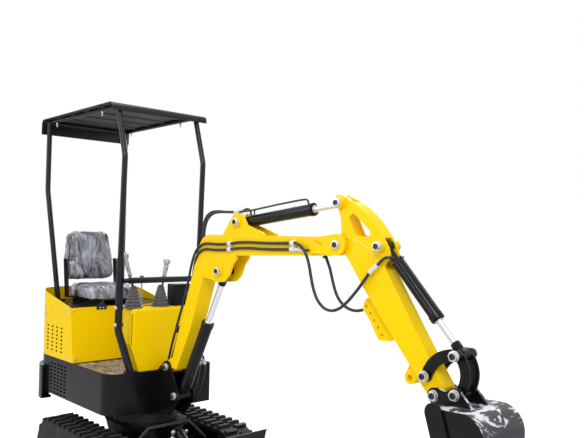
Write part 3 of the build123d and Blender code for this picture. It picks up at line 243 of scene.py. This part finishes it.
# Painted highlight: pale patches on the bucket's upward and forward faces, above a height
paint("bucket", bucket_painted_highlight, lambda at, out: abs(at.y) < 0.1395 and (out.z > 0.15 or out.x > 0.6)
      and at.z > 0.6 and abs(out.y) < 0.3 and at.x > SLEW + 2.20)
# The eyes of these rods are painted, the rods themselves chromed
for rod, place in (("bucket_cyl_rod", BUCKET_EYE), ("boom_cyl_rod", BOOM_EYE)):
    eye = here(*place)
    paint(rod, black, lambda at, out, eye=eye: (Vector((at.x, 0, at.z)) - eye).length < 0.034)


# Making pieces
def piece(name, mesh, mat, body=None, sharp=35):
    """Shows a mesh as a named piece with its material, smooth but for its edges, on a body."""
    obj = bpy.data.objects.new(name, mesh)
    scene.collection.objects.link(obj)
    mesh.materials.clear()
    mesh.materials.append(mat)
    for face in mesh.polygons:
        face.use_smooth = True
        face.material_index = 0
    mesh.set_sharp_from_angle(angle=math.radians(sharp))
    if body:
        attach(obj, body)
    return obj


def made(name, forms, mat, body, sharp=35):
    """One piece from several forms, each a function that draws into the mesh."""
    bm = bmesh.new()
    for form in forms:
        form(bm)
    bmesh.ops.recalc_face_normals(bm, faces=bm.faces)
    mesh = bpy.data.meshes.new(name)
    bm.to_mesh(mesh)
    bm.free()
    return piece(name, mesh, mat, body, sharp)


def turned(at, axis, profile, sides=24):
    """Turned form: profile gives distances along the axis and radii, in millimetres."""
    def draw(bm):
        line = Vector(axis).normalized()
        side = line.orthogonal().normalized()
        up = line.cross(side)
        rings = []
        for far, radius in profile:
            centre = at + line * far / 1000
            if radius:
                rings.append([
                    bm.verts.new(centre + (side * math.cos(a) + up * math.sin(a)) * radius / 1000)
                    for a in (2 * math.pi * i / sides for i in range(sides))
                ])
            else:
                rings.append([bm.verts.new(centre)])
        for low, high in zip(rings, rings[1:]):
            for i in range(sides):
                j = (i + 1) % sides
                corners = [low[i % len(low)], low[j % len(low)], high[j % len(high)], high[i % len(high)]]
                bm.faces.new(list(dict.fromkeys(corners)))
        for ring in (rings[0], rings[-1]):
            if len(ring) > 1:
                bm.faces.new(ring)
    return draw


def slab(outline, depth, edge=1.0):
    """Flat plate with softened edges: an outline of points, pushed out by a vector."""
    def draw(bm):
        low = [bm.verts.new(p) for p in outline]
        high = [bm.verts.new(p + depth) for p in outline]
        faces = [bm.faces.new(low), bm.faces.new(high[::-1])]
        for i in range(len(low)):
            j = (i + 1) % len(low)
            faces.append(bm.faces.new((low[i], low[j], high[j], high[i])))
        if edge:
            edges = list({e for f in faces for e in f.edges})
            bmesh.ops.bevel(bm, geom=edges, offset=edge / 1000, segments=2, profile=0.5, affect="EDGES")
    return draw


def bolt(at, axis, radius=9.0):
    """Hexagon head on a washer."""
    return [
        turned(at, axis, [(0, radius * 1.5), (1.6, radius * 1.5), (2.0, radius * 1.35)]),
        turned(at, axis, [
            (2, radius * 1.05), (2 + radius * 0.7, radius * 1.05), (2 + radius * 0.8, radius * 0.8)], 6),
    ]


def tube(name, points, diameter, mat, body=None):
    """Hose or pipe along a smooth spline through its control points; gives the piece and its centre line."""
    curve = bpy.data.curves.new(name, "CURVE")
    curve.dimensions = "3D"
    curve.resolution_u = 8
    spline = curve.splines.new("NURBS")
    spline.points.add(len(points) - 1)
    for knot, (x, z, y) in zip(spline.points, points):
        knot.co = (*here(x, z, y), 1)
    spline.order_u = 3
    spline.use_endpoint_u = True
    route = bpy.data.objects.new(name + "_route", curve)
    line = [v.co.copy() for v in bpy.data.meshes.new_from_object(route).vertices]
    curve.bevel_depth = diameter / 2000
    curve.bevel_resolution = 4
    curve.use_fill_caps = True
    mesh = bpy.data.meshes.new_from_object(route)
    mesh.name = name
    bpy.data.objects.remove(route)
    return piece(name, mesh, mat, body, 60), line


def ferrule(start, end, radius=10.0):
    """Crimped sleeve and hexagon between a hose and its pipe."""
    run = end - start
    long = run.length * 1000
    rings = [(0, radius * 0.8)]
    for i in range(4):
        at = long * (0.08 + 0.13 * i)
        rings += [(at, radius), (at + long * 0.08, radius), (at + long * 0.1, radius * 0.88)]
    return [
        turned(start, run, rings + [(long * 0.62, radius * 0.86)]),
        turned(start, run, [(long * 0.62, radius * 1.15), (long * 0.95, radius * 1.15), (long, radius * 0.9)], 6),
    ]


# Free hoses from the boom to the stick
HOSE = 14.0
loop_right = [
    (1384, 1494, -57), (1430, 1486, -65), (1467, 1460, -70), (1494, 1411, -70), (1509, 1353, -70),
    (1525, 1296, -70), (1551, 1244, -70), (1592, 1210, -70), (1639, 1200, -70), (1691, 1214, -70),
    (1741, 1254, -67), (1789, 1308, -61), (1820, 1350, -55), (1842, 1381, -50),
]
loop_left = [
    (1512, 1438, 20), (1537, 1397, 20), (1556, 1343, 20), (1571, 1295, 21), (1592, 1253, 22),
    (1626, 1219, 24), (1673, 1201, 28), (1716, 1202, 38), (1756, 1222, 48), (1786, 1262, 54),
    (1808, 1310, 56), (1826, 1350, 54), (1842, 1381, 50),
]
for label, side, points in (("right", -1, loop_right), ("left", 1, loop_left)):
    fitting = made("hose_ferrule_" + label, ferrule(here(1840, 1378, side * 50), here(1884, 1414, side * 50)),
                   pale_plastic, "stick")
    tube("hose_elbow_" + label,
         [(1880, 1411, side * 50), (1896, 1425, side * 50), (1914, 1440, side * 50), (1932, 1447, side * 49),
          (1943, 1446, side * 42), (1945, 1443, side * 32), (1945, 1443, side * 24)],
         13, pipe_black, "bucket_barrel")
    hose, line = tube("hose_loop_" + label, points, HOSE, hose_rubber)
    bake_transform(hose)

# Hoses up the boom's leg, two on to its right side and two over the knee to the arm cylinder
leg_low = [(258, 660), (280, 700), (292, 750), (306, 800)]
boom_hoses = {
    "hose_boom_upper": [(x, z, -36) for x, z in leg_low] + [
        (330, 870, -36), (368, 960, -37), (412, 1060, -38), (455, 1152, -40), (496, 1252, -44),
        (532, 1350, -50), (564, 1415, -53), (604, 1456, -54), (660, 1477, -54), (732, 1474, -53),
        (806, 1473, -54), (884, 1479, -55), (960, 1488, -53), (1060, 1490, -53), (1180, 1488, -53),
        (1290, 1490, -53), (1384, 1494, -57),
    ],
    "hose_boom_lower": [(x + 6, z, -18) for x, z in leg_low] + [
        (344, 868, -18), (384, 958, -19), (428, 1058, -20), (470, 1150, -22), (510, 1250, -27),
        (546, 1340, -40), (574, 1392, -50), (610, 1428, -54), (662, 1446, -54), (732, 1443, -53),
        (806, 1443, -54), (884, 1449, -55), (960, 1458, -53), (1060, 1460, -53), (1180, 1458, -53),
        (1290, 1460, -53), (1372, 1463, -54),
    ],
    "hose_arm_outer": [(x, z, 36) for x, z in leg_low] + [
        (330, 870, 36), (366, 960, 36), (408, 1060, 36), (446, 1150, 36), (482, 1240, 37),
        (506, 1330, 38), (512, 1420, 39), (510, 1500, 38), (516, 1568, 36), (546, 1624, 32),
        (604, 1652, 26), (676, 1655, 20), (746, 1650, 15), (812, 1648, 12), (868, 1648, 10),
    ],
    "hose_arm_inner": [(x + 6, z, 16) for x, z in leg_low] + [
        (342, 868, 16), (380, 958, 16), (424, 1058, 15), (462, 1148, 14), (500, 1240, 13),
        (532, 1330, 12), (554, 1420, 11), (564, 1500, 10), (574, 1562, 6), (606, 1612, 1),
        (658, 1641, -4), (726, 1649, -8), (796, 1647, -10), (868, 1646, -10),
    ],
}
for name, points in boom_hoses.items():
    hose, _ = tube(name, points, HOSE, hose_rubber)
    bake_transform(hose)
for label, y, z in (("outer", 10, 1648), ("inner", -10, 1646)):
    made("arm_ferrule_" + label, ferrule(here(864, z, y), here(908, z + 2, y), 9.5), pale_plastic, "boom")
tube("arm_pipe_short", [(903, 1650, 10), (925, 1660, 10), (950, 1664, 9), (972, 1658, 6), (985, 1642, 3),
                        (992, 1622, 0)], 11, pipe_black, "arm_barrel")
tube("arm_pipe_long", [(903, 1648, -10), (940, 1649, -7), (980, 1652, -3), (1080, 1665, 0), (1194, 1680, 0),
                       (1300, 1692, 0), (1374, 1700, 0), (1398, 1701, 0), (1411, 1695, 0), (1414, 1682, 0),
                       (1415, 1664, 0)], 10, pipe_black, "arm_barrel")
tube("arm_pipe_stay", [(1019, 1657, 0), (1016, 1645, 0), (1014, 1622, 0)], 8, pipe_black, "arm_barrel")


# Pale clamps round the two hoses on the boom's side
def clamp(x, low_z, high_z, long):
    """Block over both hoses, with a saddle for each and a screw between."""
    def draw(bm):
        outline = [(-46, low_z - 13)]
        for z in (low_z, high_z):
            outline += [(-53 - 12 * math.sin(a), z - 12 * math.cos(a))
                        for a in (math.pi * i / 10 for i in range(11))]
        outline += [(-46, high_z + 13)]
        ends = [[bm.verts.new(here(x + step, z, y)) for y, z in outline] for step in (-long / 2, long / 2)]
        faces = [bm.faces.new(ends[0]), bm.faces.new(ends[1][::-1])]
        for i in range(len(outline)):
            j = (i + 1) % len(outline)
            faces.append(bm.faces.new((ends[0][i], ends[0][j], ends[1][j], ends[1][i])))
        rim = [e for f in faces[:2] for e in f.edges]
        bmesh.ops.bevel(bm, geom=rim, offset=0.0015, segments=2, profile=0.5, affect="EDGES")
    return [draw, turned(here(x, (low_z + high_z) / 2, -54), (0, -1, 0), [(0, 6), (5, 6), (6, 4)], 6)]


made("hose_clamp_rear", clamp(885, 1449, 1479, 27), pale_plastic, "boom")
made("hose_clamp_front", clamp(1368, 1463, 1493, 30), pale_plastic, "boom")
made("hose_ferrule_lower", ferrule(here(1382, 1463, -54), here(1440, 1462, -53), 8.5), pale_plastic, "boom")
tube("hose_entry_lower", [(1436, 1462, -53), (1452, 1462, -53), (1464, 1462, -51), (1470, 1462, -46),
                          (1471, 1462, -40)], 11, pipe_black, "boom")
made("hose_grommet", [turned(here(1511, 1426, 20), (0.1, 0, 1), [(0, 9), (1, 12), (5, 13), (9, 13)])],
     hose_rubber, "boom")
for i, (x, z) in enumerate(((384, 980), (476, 1190))):
    strap = [here(x - 12, z - 18, y) for y in (-48, 48)] + [here(x, z + 14, y) for y in (48, -48)]
    made(f"leg_clamp_{i}", [slab(strap, Vector((0.022, 0, -0.008)), 2)], dark_steel, "boom")

# Pins: pale washers and nuts with dark ends
pins = {
    "foot_pin": ((312, 749), "house", "boom_bracket"), "boom_base_pin": (BOOM_BASE, "house", "boom_bracket"),
    "boom_eye_pin": (BOOM_EYE, "boom", "boom"), "arm_base_pin": (ARM_BASE, "boom", "boom"),
    "stick_pin": ((1655, 1492), "boom", "boom"), "arm_eye_pin": (ARM_EYE, "stick", "stick"),
    "bucket_base_pin": (BUCKET_BASE, "stick", "stick"), "rocker_pin": ((2131, 997), "rocker", "rocker"),
    "rocker_top_pin": (BUCKET_EYE, "rocker", "rocker"), "bucket_pin": ((2177, 931), "bucket", "bucket"),
    "bucket_link_pin": ((2270, 949), "bucket", "bucket"),
}
for name, ((x, z), body, node) in pins.items():
    centre = here(x, z)
    paint(node, zinc, lambda at, out, c=centre:
          abs(at.y) > 0.0593 and math.hypot(at.x - c.x, at.z - c.z) < 0.0225)
    washers, ends = [], []
    for side in (-1, 1):
        axis = (0, side, 0)
        washers.append(turned(here(x, z, side * CHEEK), axis, [
            (0, 22), (3, 22), (4.2, 20), (13, 18.6), (13.6, 16)]))
        ends.append(turned(here(x, z, side * (CHEEK + 12)), axis, [
            (0, 12.5), (4.5, 12.5), (6, 11), (6, 6), (3, 5)]))
    made(name + "_collars", washers, zinc, body)
    made(name + "_ends", ends, dark_steel, body)


# Cylinders: gland nuts, wiper rings and pipes along the barrels
def on_line(base, eye, far, out=0.0, y=0.0):
    """Point a distance along a cylinder and off its centre line."""
    run = Vector((eye[0] - base[0], eye[1] - base[1])).normalized()
    return here(base[0] + run.x * far - run.y * out, base[1] + run.y * far + run.x * out, y)


for label, body, base, eye, radius, rod, long in (
    ("boom", "boom_barrel", BOOM_BASE, BOOM_EYE, 33, 17, 500),
    ("arm", "arm_barrel", ARM_BASE, ARM_EYE, 29, 14, 518),
    ("bucket", "bucket_barrel", BUCKET_BASE, BUCKET_EYE, 26, 13, 385),
    ("blade", "blade_barrel", BLADE_BASE, BLADE_EYE, 25, 12, 195),
):
    run = here(*eye) - here(*base)
    made(label + "_gland", [
        turned(on_line(base, eye, long - 24), run, [
            (0, radius), (2, radius + 2.5), (10, radius + 2.5), (11.5, radius + 1), (13, radius + 2.5),
            (21, radius + 2.5), (25, radius - 3), (28, rod + 6), (28, rod + 1),
        ], 32),
    ], cylinder_black, body)
    made(label + "_wiper", [turned(on_line(base, eye, long + 3), run, [
        (0, rod + 5), (4, rod + 4), (5, rod + 0.5)])], zinc, body)

# The arm cylinder's barrel, shorter than its solid
arm_run = here(*ARM_EYE) - here(*ARM_BASE)
shorter = made("arm_barrel_shell", [
    turned(here(*ARM_BASE, -32), (0, 1, 0), [(0, 25), (1.5, 27), (62.5, 27), (64, 25)], 32),
    turned(on_line(ARM_BASE, ARM_EYE, 12), arm_run, [
        (0, 22), (14, 28), (18, 29), (494, 29), (494, 16)], 40),
], cylinder_black, "arm_barrel")
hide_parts("arm_cyl_barrel")

# Black blocks between each rod and its eye
for body, eye, base, start, radius, long in (
    ("bucket_rod", BUCKET_EYE, BUCKET_BASE, 24, 20, 32),
    ("boom_rod", BOOM_EYE, BOOM_BASE, 28, 22, 62),
):
    made(body + "_end", [turned(on_line(eye, base, start), here(*base) - here(*eye), [
        (0, radius - 3), (2, radius), (long - 3, radius), (long, radius - 4)], 8)], black, body)

# Pipes beside the bucket cylinder
for label, y in (("right", -25), ("left", 25)):
    tube("bucket_pipe_" + label, [
        (1938, 1452, y * 1.15), (1950, 1440, y * 1.25), (1985, 1403, y * 1.25), (2030, 1355, y * 1.25),
        (2080, 1302, y * 1.25), (2124, 1256, y * 1.25), (2144, 1234, y * 1.2), (2149, 1228, y * 0.9),
    ], 9, tube_black, "bucket_barrel")

# Hoses from the house round the bracket to the boom cylinder
base_hoses = {
    "hose_base_near": [(186, 560, 80), (230, 540, 80), (285, 532, 79), (335, 546, 79), (377, 584, 80),
                       (411, 632, 80), (436, 684, 78), (458, 734, 72), (478, 776, 63), (494, 806, 50)],
    "hose_base_far": [(186, 545, 100), (235, 522, 100), (295, 514, 100), (352, 532, 100), (398, 572, 100),
                      (434, 624, 99), (464, 680, 96), (490, 734, 88), (512, 782, 74), (526, 818, 54)],
}
for name, points in base_hoses.items():
    hose, _ = tube(name, points, 13, hose_rubber)
    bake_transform(hose)
    (x, z, y), (x2, z2, y2) = points[-2], points[-1]
    made(name + "_ferrule", ferrule(here(x, z, y), here(x2, z2, y2), 9), pale_plastic, "boom_barrel")
    tube(name + "_elbow", [(x2, z2, y2), (x2 + 8, z2 + 14, y2 - 8), (x2 + 12, z2 + 22, y2 - 18),
                           (x2 + 12, z2 + 24, y2 - 30)], 12, pipe_black, "boom_barrel")

# Bolts on the yellow shell, the sleeves, the deck and the roof
shell = []
for x, z in ((-707, 1034), (-703, 981), (-393, 1036), (-392, 1011), (-373, 732)):
    for side in (-1, 1):
        shell += bolt(here(x, z, side * 353.6), (0, side, 0), 5.5)
for z, x in ((1031, -321), (735, -281)):
    for side in (-1, 1):
        shell += bolt(here(x, z, side * 334), (1, 0, 0.13), 5.5)
made("shell_bolts", shell, zinc, "house")
frame_bolts = []
for side in (-1, 1):
    for z in (1088, 990):
        frame_bolts += bolt(here(140, z, side * 296), (0, side, 0), 8)
        frame_bolts += bolt(here(140, z, side * 254), (0, -side, 0), 8)
    for step in (-42, 42):
        frame_bolts += bolt(here(150 + step * 0.3, 712, side * 200 + step), (0, 0, 1), 7)
made("frame_bolts", frame_bolts, zinc, "house")
roof_bolts = []
for x in (-770, -120):
    for side in (-1, 1):
        at = here(x, 2262, side * 282)
        roof_bolts.append(turned(at, (0, 0, -1), [(0, 8), (6, 8), (7, 4), (26, 4), (27, 2.5)], 12))
made("roof_bolts", roof_bolts, zinc, "house")
ribs = []
for x in (-700, -500, -300, -100):
    ribs.append(slab([here(x - 26, 2287.6, -300), here(x + 26, 2287.6, -300), here(x + 15, 2280, -300),
                      here(x - 15, 2280, -300)], Vector((0, 0.6, 0)), 1.5))
made("roof_ribs", ribs, roof_under, "house")
paint("canopy_roof", roof_under, lambda at, out: out.z < -0.4)

# Latch of the seat box
made("seat_latch", [
    slab([here(-321, 1029, -184), here(-321, 1029, -112), here(-323.5, 1056, -112), here(-323.5, 1056, -184)],
         Vector((0.004, 0, 0.0005)), 1),
    turned(here(-322, 1060, -166), (0, 1, 0), [(0, 7), (36, 7)], 16),
    slab([here(-329, 1056, -170), here(-329, 1056, -126), here(-329, 1070, -132), here(-329, 1077, -148),
          here(-329, 1070, -164)], Vector((0.006, 0, 0)), 1),
], dark_steel, "house")
made("seat_latch_screws", [turned(here(-317.5, 1041, y), (1, 0, 0.1), [(0, 4.5), (2.5, 4.5), (3.5, 2.5)], 16)
                           for y in (-160, -138)], pale_plastic, "house")

# Boots and levers: film with painted sheen on the grips, one plain chrome lever between them
BOOT_FOOT, BOOT_TOP, BOOT_RIBS, RIB_PITCH, BOOT_SIDES = 1082.5, 1212, 7, 18, 28


def boot(x, y):
    """Ribbed rubber boot on an oblong foot, narrowing to the lever."""
    def draw(bm):
        rings = []
        angles = [2 * math.pi * i / BOOT_SIDES for i in range(BOOT_SIDES)]
        for rib in range(BOOT_RIBS):
            share = rib / BOOT_RIBS
            wide, deep = 52 * (1 - share) + 17 * share, 44 * (1 - share) + 17 * share
            for out, up in ((1.0, 0), (1.0, 5), (0.93, 8), (0.80, 12), (0.80, 15)):
                ring = []
                for a in angles:
                    cx, cy = math.cos(a), math.sin(a)
                    swell = (abs(cx) ** 4 + abs(cy) ** 4) ** -0.25
                    swell = swell * (1 - share) + share
                    ring.append(bm.verts.new(here(
                        x + deep * out * cx * swell, BOOT_FOOT + rib * RIB_PITCH + up, y + wide * out * cy * swell)))
                rings.append(ring)
        rings.append([bm.verts.new(here(x + 10 * math.cos(a), BOOT_TOP, y + 10 * math.sin(a))) for a in angles])
        for low, high in zip(rings, rings[1:]):
            for i in range(BOOT_SIDES):
                j = (i + 1) % BOOT_SIDES
                bm.faces.new((low[i], low[j], high[j], high[i]))
        bm.faces.new(rings[0])
        bm.faces.new(rings[-1])
    return draw


boots = made("lever_boots", [boot(124, -176), boot(124, 10)], bellow_rubber, "house", 50)
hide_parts("bellows")
wrapped, stalks = [], []
for foot_y, top in ((-178, (112, 1408, -240)), (20, (124, 1368, 52))):
    foot, tip = here(124, 1200, foot_y), here(*top)
    grip = foot.lerp(tip, 0.3)
    long = (tip - grip).length * 1000
    stalks.append(turned(foot, grip - foot, [
        (0, 9), (4, 8), (8, 6), ((grip - foot).length * 1000 + 10, 6)], 16))
    wrapped.append(turned(grip, tip - grip, [
        (0, 10), (long * 0.06, 14), (long * 0.2, 12), (long * 0.35, 14), (long * 0.5, 13), (long * 0.62, 15),
        (long * 0.72, 14), (long * 0.8, 21), (long * 0.9, 23), (long * 0.97, 17), (long, 8), (long, 0),
    ], 20))
grips = made("lever_grips", wrapped, grip_film_painted_sheen, "house", 60)
for v in grips.data.vertices:
    v.co += v.normal * (noise.noise(v.co * 60) * 0.004)
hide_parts("control_levers")
made("lever_stalks", stalks, dark_steel, "house")
made("handrail_sleeve", [turned(here(166, 1246, -232), (0, 1, 0), [
    (0, 14.5), (1, 18), (463, 18), (464, 14.5)], 28)], tube_black, "house")
made("small_lever", [turned(here(96, 1083, -106), (0, 0, 1), [
    (0, 16), (4, 15), (6, 5), (160, 5)], 16)], chrome, "house")
made("small_lever_knob", [turned(here(96, 1240, -106), (0, 0, 1), [
    (0, 6), (3, 11), (10, 15), (18, 15.5), (25, 12), (29, 6), (30, 0)], 20)], grip_plastic, "house")
made("console_trim", [
    slab([here(74, 1083, -206), here(78, 1083, -206), here(78, 1083, 206), here(74, 1083, 206)],
         Vector((0, 0, 0.006)), 1)], dark_steel, "house")


# Seat: padded forms in crumpled clear film, its pale streaks painted sheen. Lengths in metres
SEAT_VOXEL, SWELL_STEPS, MOST_SWELL = 0.0065, 20, 0.010
SEAT_CHANNELS = (-0.145, 0.085)


def padded_seat(node, name, channels):
    """Swells a cushion's solid as cloth, sinks its sewn channels and crumples the film over it."""
    obj = bpy.data.objects.new(name, nodes[node].data.copy())
    scene.collection.objects.link(obj)
    low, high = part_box(node)
    middle = (low + high) / 2
    for v in obj.data.vertices:
        v.co = middle + (v.co - middle) * 0.965
    remesh = obj.modifiers.new("voxels", "REMESH")
    remesh.mode = "VOXEL"
    remesh.voxel_size = SEAT_VOXEL
    graph = bpy.context.evaluated_depsgraph_get()
    obj.data = bpy.data.meshes.new_from_object(obj.evaluated_get(graph))
    obj.modifiers.clear()
    rest = [v.co.copy() for v in obj.data.vertices]
    cloth = obj.modifiers.new("swell", "CLOTH")
    cloth.settings.use_pressure = True
    cloth.settings.uniform_pressure_force = 4.0
    cloth.settings.effector_weights.gravity = 0.0
    cloth.settings.tension_stiffness = 12
    cloth.settings.bending_stiffness = 0.4
    for step in range(1, SWELL_STEPS + 1):
        scene.frame_set(step)
    swollen = bpy.data.meshes.new_from_object(obj.evaluated_get(bpy.context.evaluated_depsgraph_get()))
    obj.modifiers.clear()
    for v, was, now in zip(obj.data.vertices, rest, [w.co.copy() for w in swollen.vertices]):
        move = now - was
        v.co = was + move * min(1.0, MOST_SWELL / max(move.length, 1e-6))
    scene.frame_set(1)
    obj.data.update()
    moves = []
    for v in obj.data.vertices:
        p = v.co
        sink = sum(0.007 * math.exp(-((p.y - at) / 0.008) ** 2) for at in channels)
        folds = 1 - abs(noise.noise(Vector((p.x * 16, p.y * 26, p.z * 11)))) * 2
        fine = 1 - abs(noise.noise(Vector((p.x * 40, p.y * 55, p.z * 34 + 5)))) * 2
        moves.append(v.normal * (0.0032 * max(0.0, folds) ** 3 + 0.0016 * max(0.0, fine) ** 2 - sink))
    for v, move in zip(obj.data.vertices, moves):
        v.co += move
    obj.data.materials.clear()
    obj.data.materials.append(seat_film_painted_sheen)
    for face in obj.data.polygons:
        face.use_smooth = True
        face.material_index = 0
    finer = obj.modifiers.new("finer", "SUBSURF")
    finer.levels = finer.render_levels = 1
    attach(obj, "house")
    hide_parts(node)


padded_seat("seat_cushion", "seat_pad", SEAT_CHANNELS)
padded_seat("seat_back", "seat_back_pad", SEAT_CHANNELS)

# Raised pattern on the floor plate
lozenges = []
for i in range(15):
    for j in range(22):
        x, y = -262 + 30 * i, -330 + 30 * j + 15 * (i % 2)
        if (x > 60 and abs(y) < 175) or math.hypot(x - 150, abs(y) - 200) < 45 or abs(y) > 335:
            continue
        turn = 1 if (i + j) % 2 else -1
        long, wide = Vector((0.010, 0.010 * turn, 0)), Vector((0.0026, -0.0026 * turn, 0))
        at = here(x, 706.8, y)
        lozenges.append((at, long, wide))


def raised(bm):
    """Small lozenges standing on the plate."""
    for at, long, wide in lozenges:
        base = [bm.verts.new(p) for p in (at - long, at - wide, at + long, at + wide)]
        top = [bm.verts.new(at + (p.co - at) * 0.62 + Vector((0, 0, 0.0018))) for p in base]
        bm.faces.new(top)
        for k in range(4):
            bm.faces.new((base[k], base[(k + 1) % 4], top[(k + 1) % 4], top[k]))


made("floor_pattern", [raised], floor_steel, "house", 20)

# Weld beads on the stick, their paler yellow a painted highlight, and the worn edge of the blade
for side in (-1, 1):
    label = "right" if side < 0 else "left"
    tube("stick_weld_" + label, [(1662, 1528, side * 34), (1700, 1522, side * 34), (1744, 1511, side * 34),
                                 (1790, 1493, side * 34), (1828, 1470, side * 34), (1858, 1442, side * 34),
                                 (1876, 1414, side * 34)], 5, weld_yellow_painted_highlight, "stick")
made("blade_edge", [slab([
    here(625.5, 371, -450), here(634.5, 371, -450), here(634.5, 371, 450), here(625.5, 371, 450),
], Vector((0, 0, 0.0009)), 0)], worn_edge, "blade")


# Front of the undercarriage: rim of the front plate, with bolts inside it
def rim(points, wide, x, thick):
    """Strip that follows an upright outline at one station along the machine."""
    forms = []
    for (ya, za), (yb, zb) in zip(points, points[1:]):
        run = Vector((0, yb - ya, zb - za)).normalized()
        across = Vector((0, -run.z, run.y)) * wide / 2000
        a, b = here(x, za, ya), here(x, zb, yb)
        forms.append(slab([a - across, b - across, b + across, a + across], Vector((thick / 1000, 0, 0)), 1))
    return forms


made("front_rim", rim([
    (-290, 362), (-257, 392), (-208, 436), (59, 436), (128, 372), (184, 318),
], 14, 378, 10), rim_steel, "undercarriage")
made("front_bolts", bolt(here(377, 381, -40), (1, 0, 0), 10) + bolt(here(377, 373, 50), (1, 0, 0), 8)
     + bolt(here(377, 346, -44), (1, 0, 0), 12), zinc, "undercarriage")


# Floor, world and lamps
FLOOR_GLOW, SKY_LEVEL = 0.62, 0.55


def studio():
    """Pale floor, white to the camera, and soft lamps at a plain level."""
    mesh = bpy.data.meshes.new("studio_floor")
    mesh.from_pydata([(-30, -30, 0), (30, -30, 0), (30, 30, 0), (-30, 30, 0)], [], [(0, 1, 2, 3)])
    ground = bpy.data.objects.new("studio_floor", mesh)
    scene.collection.objects.link(ground)
    mat = bpy.data.materials.new("studio_floor")
    mat.use_nodes = True
    tree = mat.node_tree
    shader = tree.nodes["Principled BSDF"]
    for socket, value in (("Base Color", (0.8, 0.8, 0.8, 1)), ("Roughness", 0.9), ("Specular IOR Level", 0.0),
                          ("Emission Color", (1, 1, 1, 1))):
        shader.inputs[socket].default_value = value
    rays = add(tree, "LightPath")
    lift = add(tree, "Math", {0: rays.outputs["Is Camera Ray"], 1: FLOOR_GLOW}, operation="MULTIPLY")
    tree.links.new(lift.outputs[0], shader.inputs["Emission Strength"])
    mesh.materials.append(mat)
    world = bpy.data.worlds.new("studio")
    world.use_nodes = True
    tree = world.node_tree
    soft = tree.nodes["Background"]
    soft.inputs["Color"].default_value = (0.93, 0.95, 1.0, 1)
    soft.inputs["Strength"].default_value = SKY_LEVEL
    white = add(tree, "Background", {"Color": (1, 1, 1, 1), "Strength": 1.0})
    rays = add(tree, "LightPath")
    seen = rays.outputs["Is Camera Ray"]
    for ray in ("Is Transmission Ray", "Is Glossy Ray"):
        seen = add(tree, "Math", {0: seen, 1: rays.outputs[ray]}, operation="MAXIMUM").outputs[0]
    mix = add(tree, "MixShader", {0: seen, 1: soft.outputs[0], 2: white.outputs[0]})
    tree.links.new(mix.outputs[0], tree.nodes["World Output"].inputs["Surface"])
    scene.world = world
    for name, place, size, watts in (
        ("key", (3.6, -3.2, 4.6), 2.4, 150), ("fill", (-2.8, -4.2, 2.6), 3.0, 60),
        ("back", (-2.6, 3.8, 4.2), 2.6, 90), ("top", (0.2, 0.0, 5.4), 3.0, 90),
    ):
        data = bpy.data.lights.new(name, "AREA")
        data.size = size
        data.energy = watts
        lamp = bpy.data.objects.new(name, data)
        lamp.location = place
        lamp.rotation_euler = (Vector((0, 0, 0.9)) - Vector(place)).to_track_quat("-Z", "Y").to_euler()
        scene.collection.objects.link(lamp)


studio()
scene.view_settings.view_transform = "Standard"
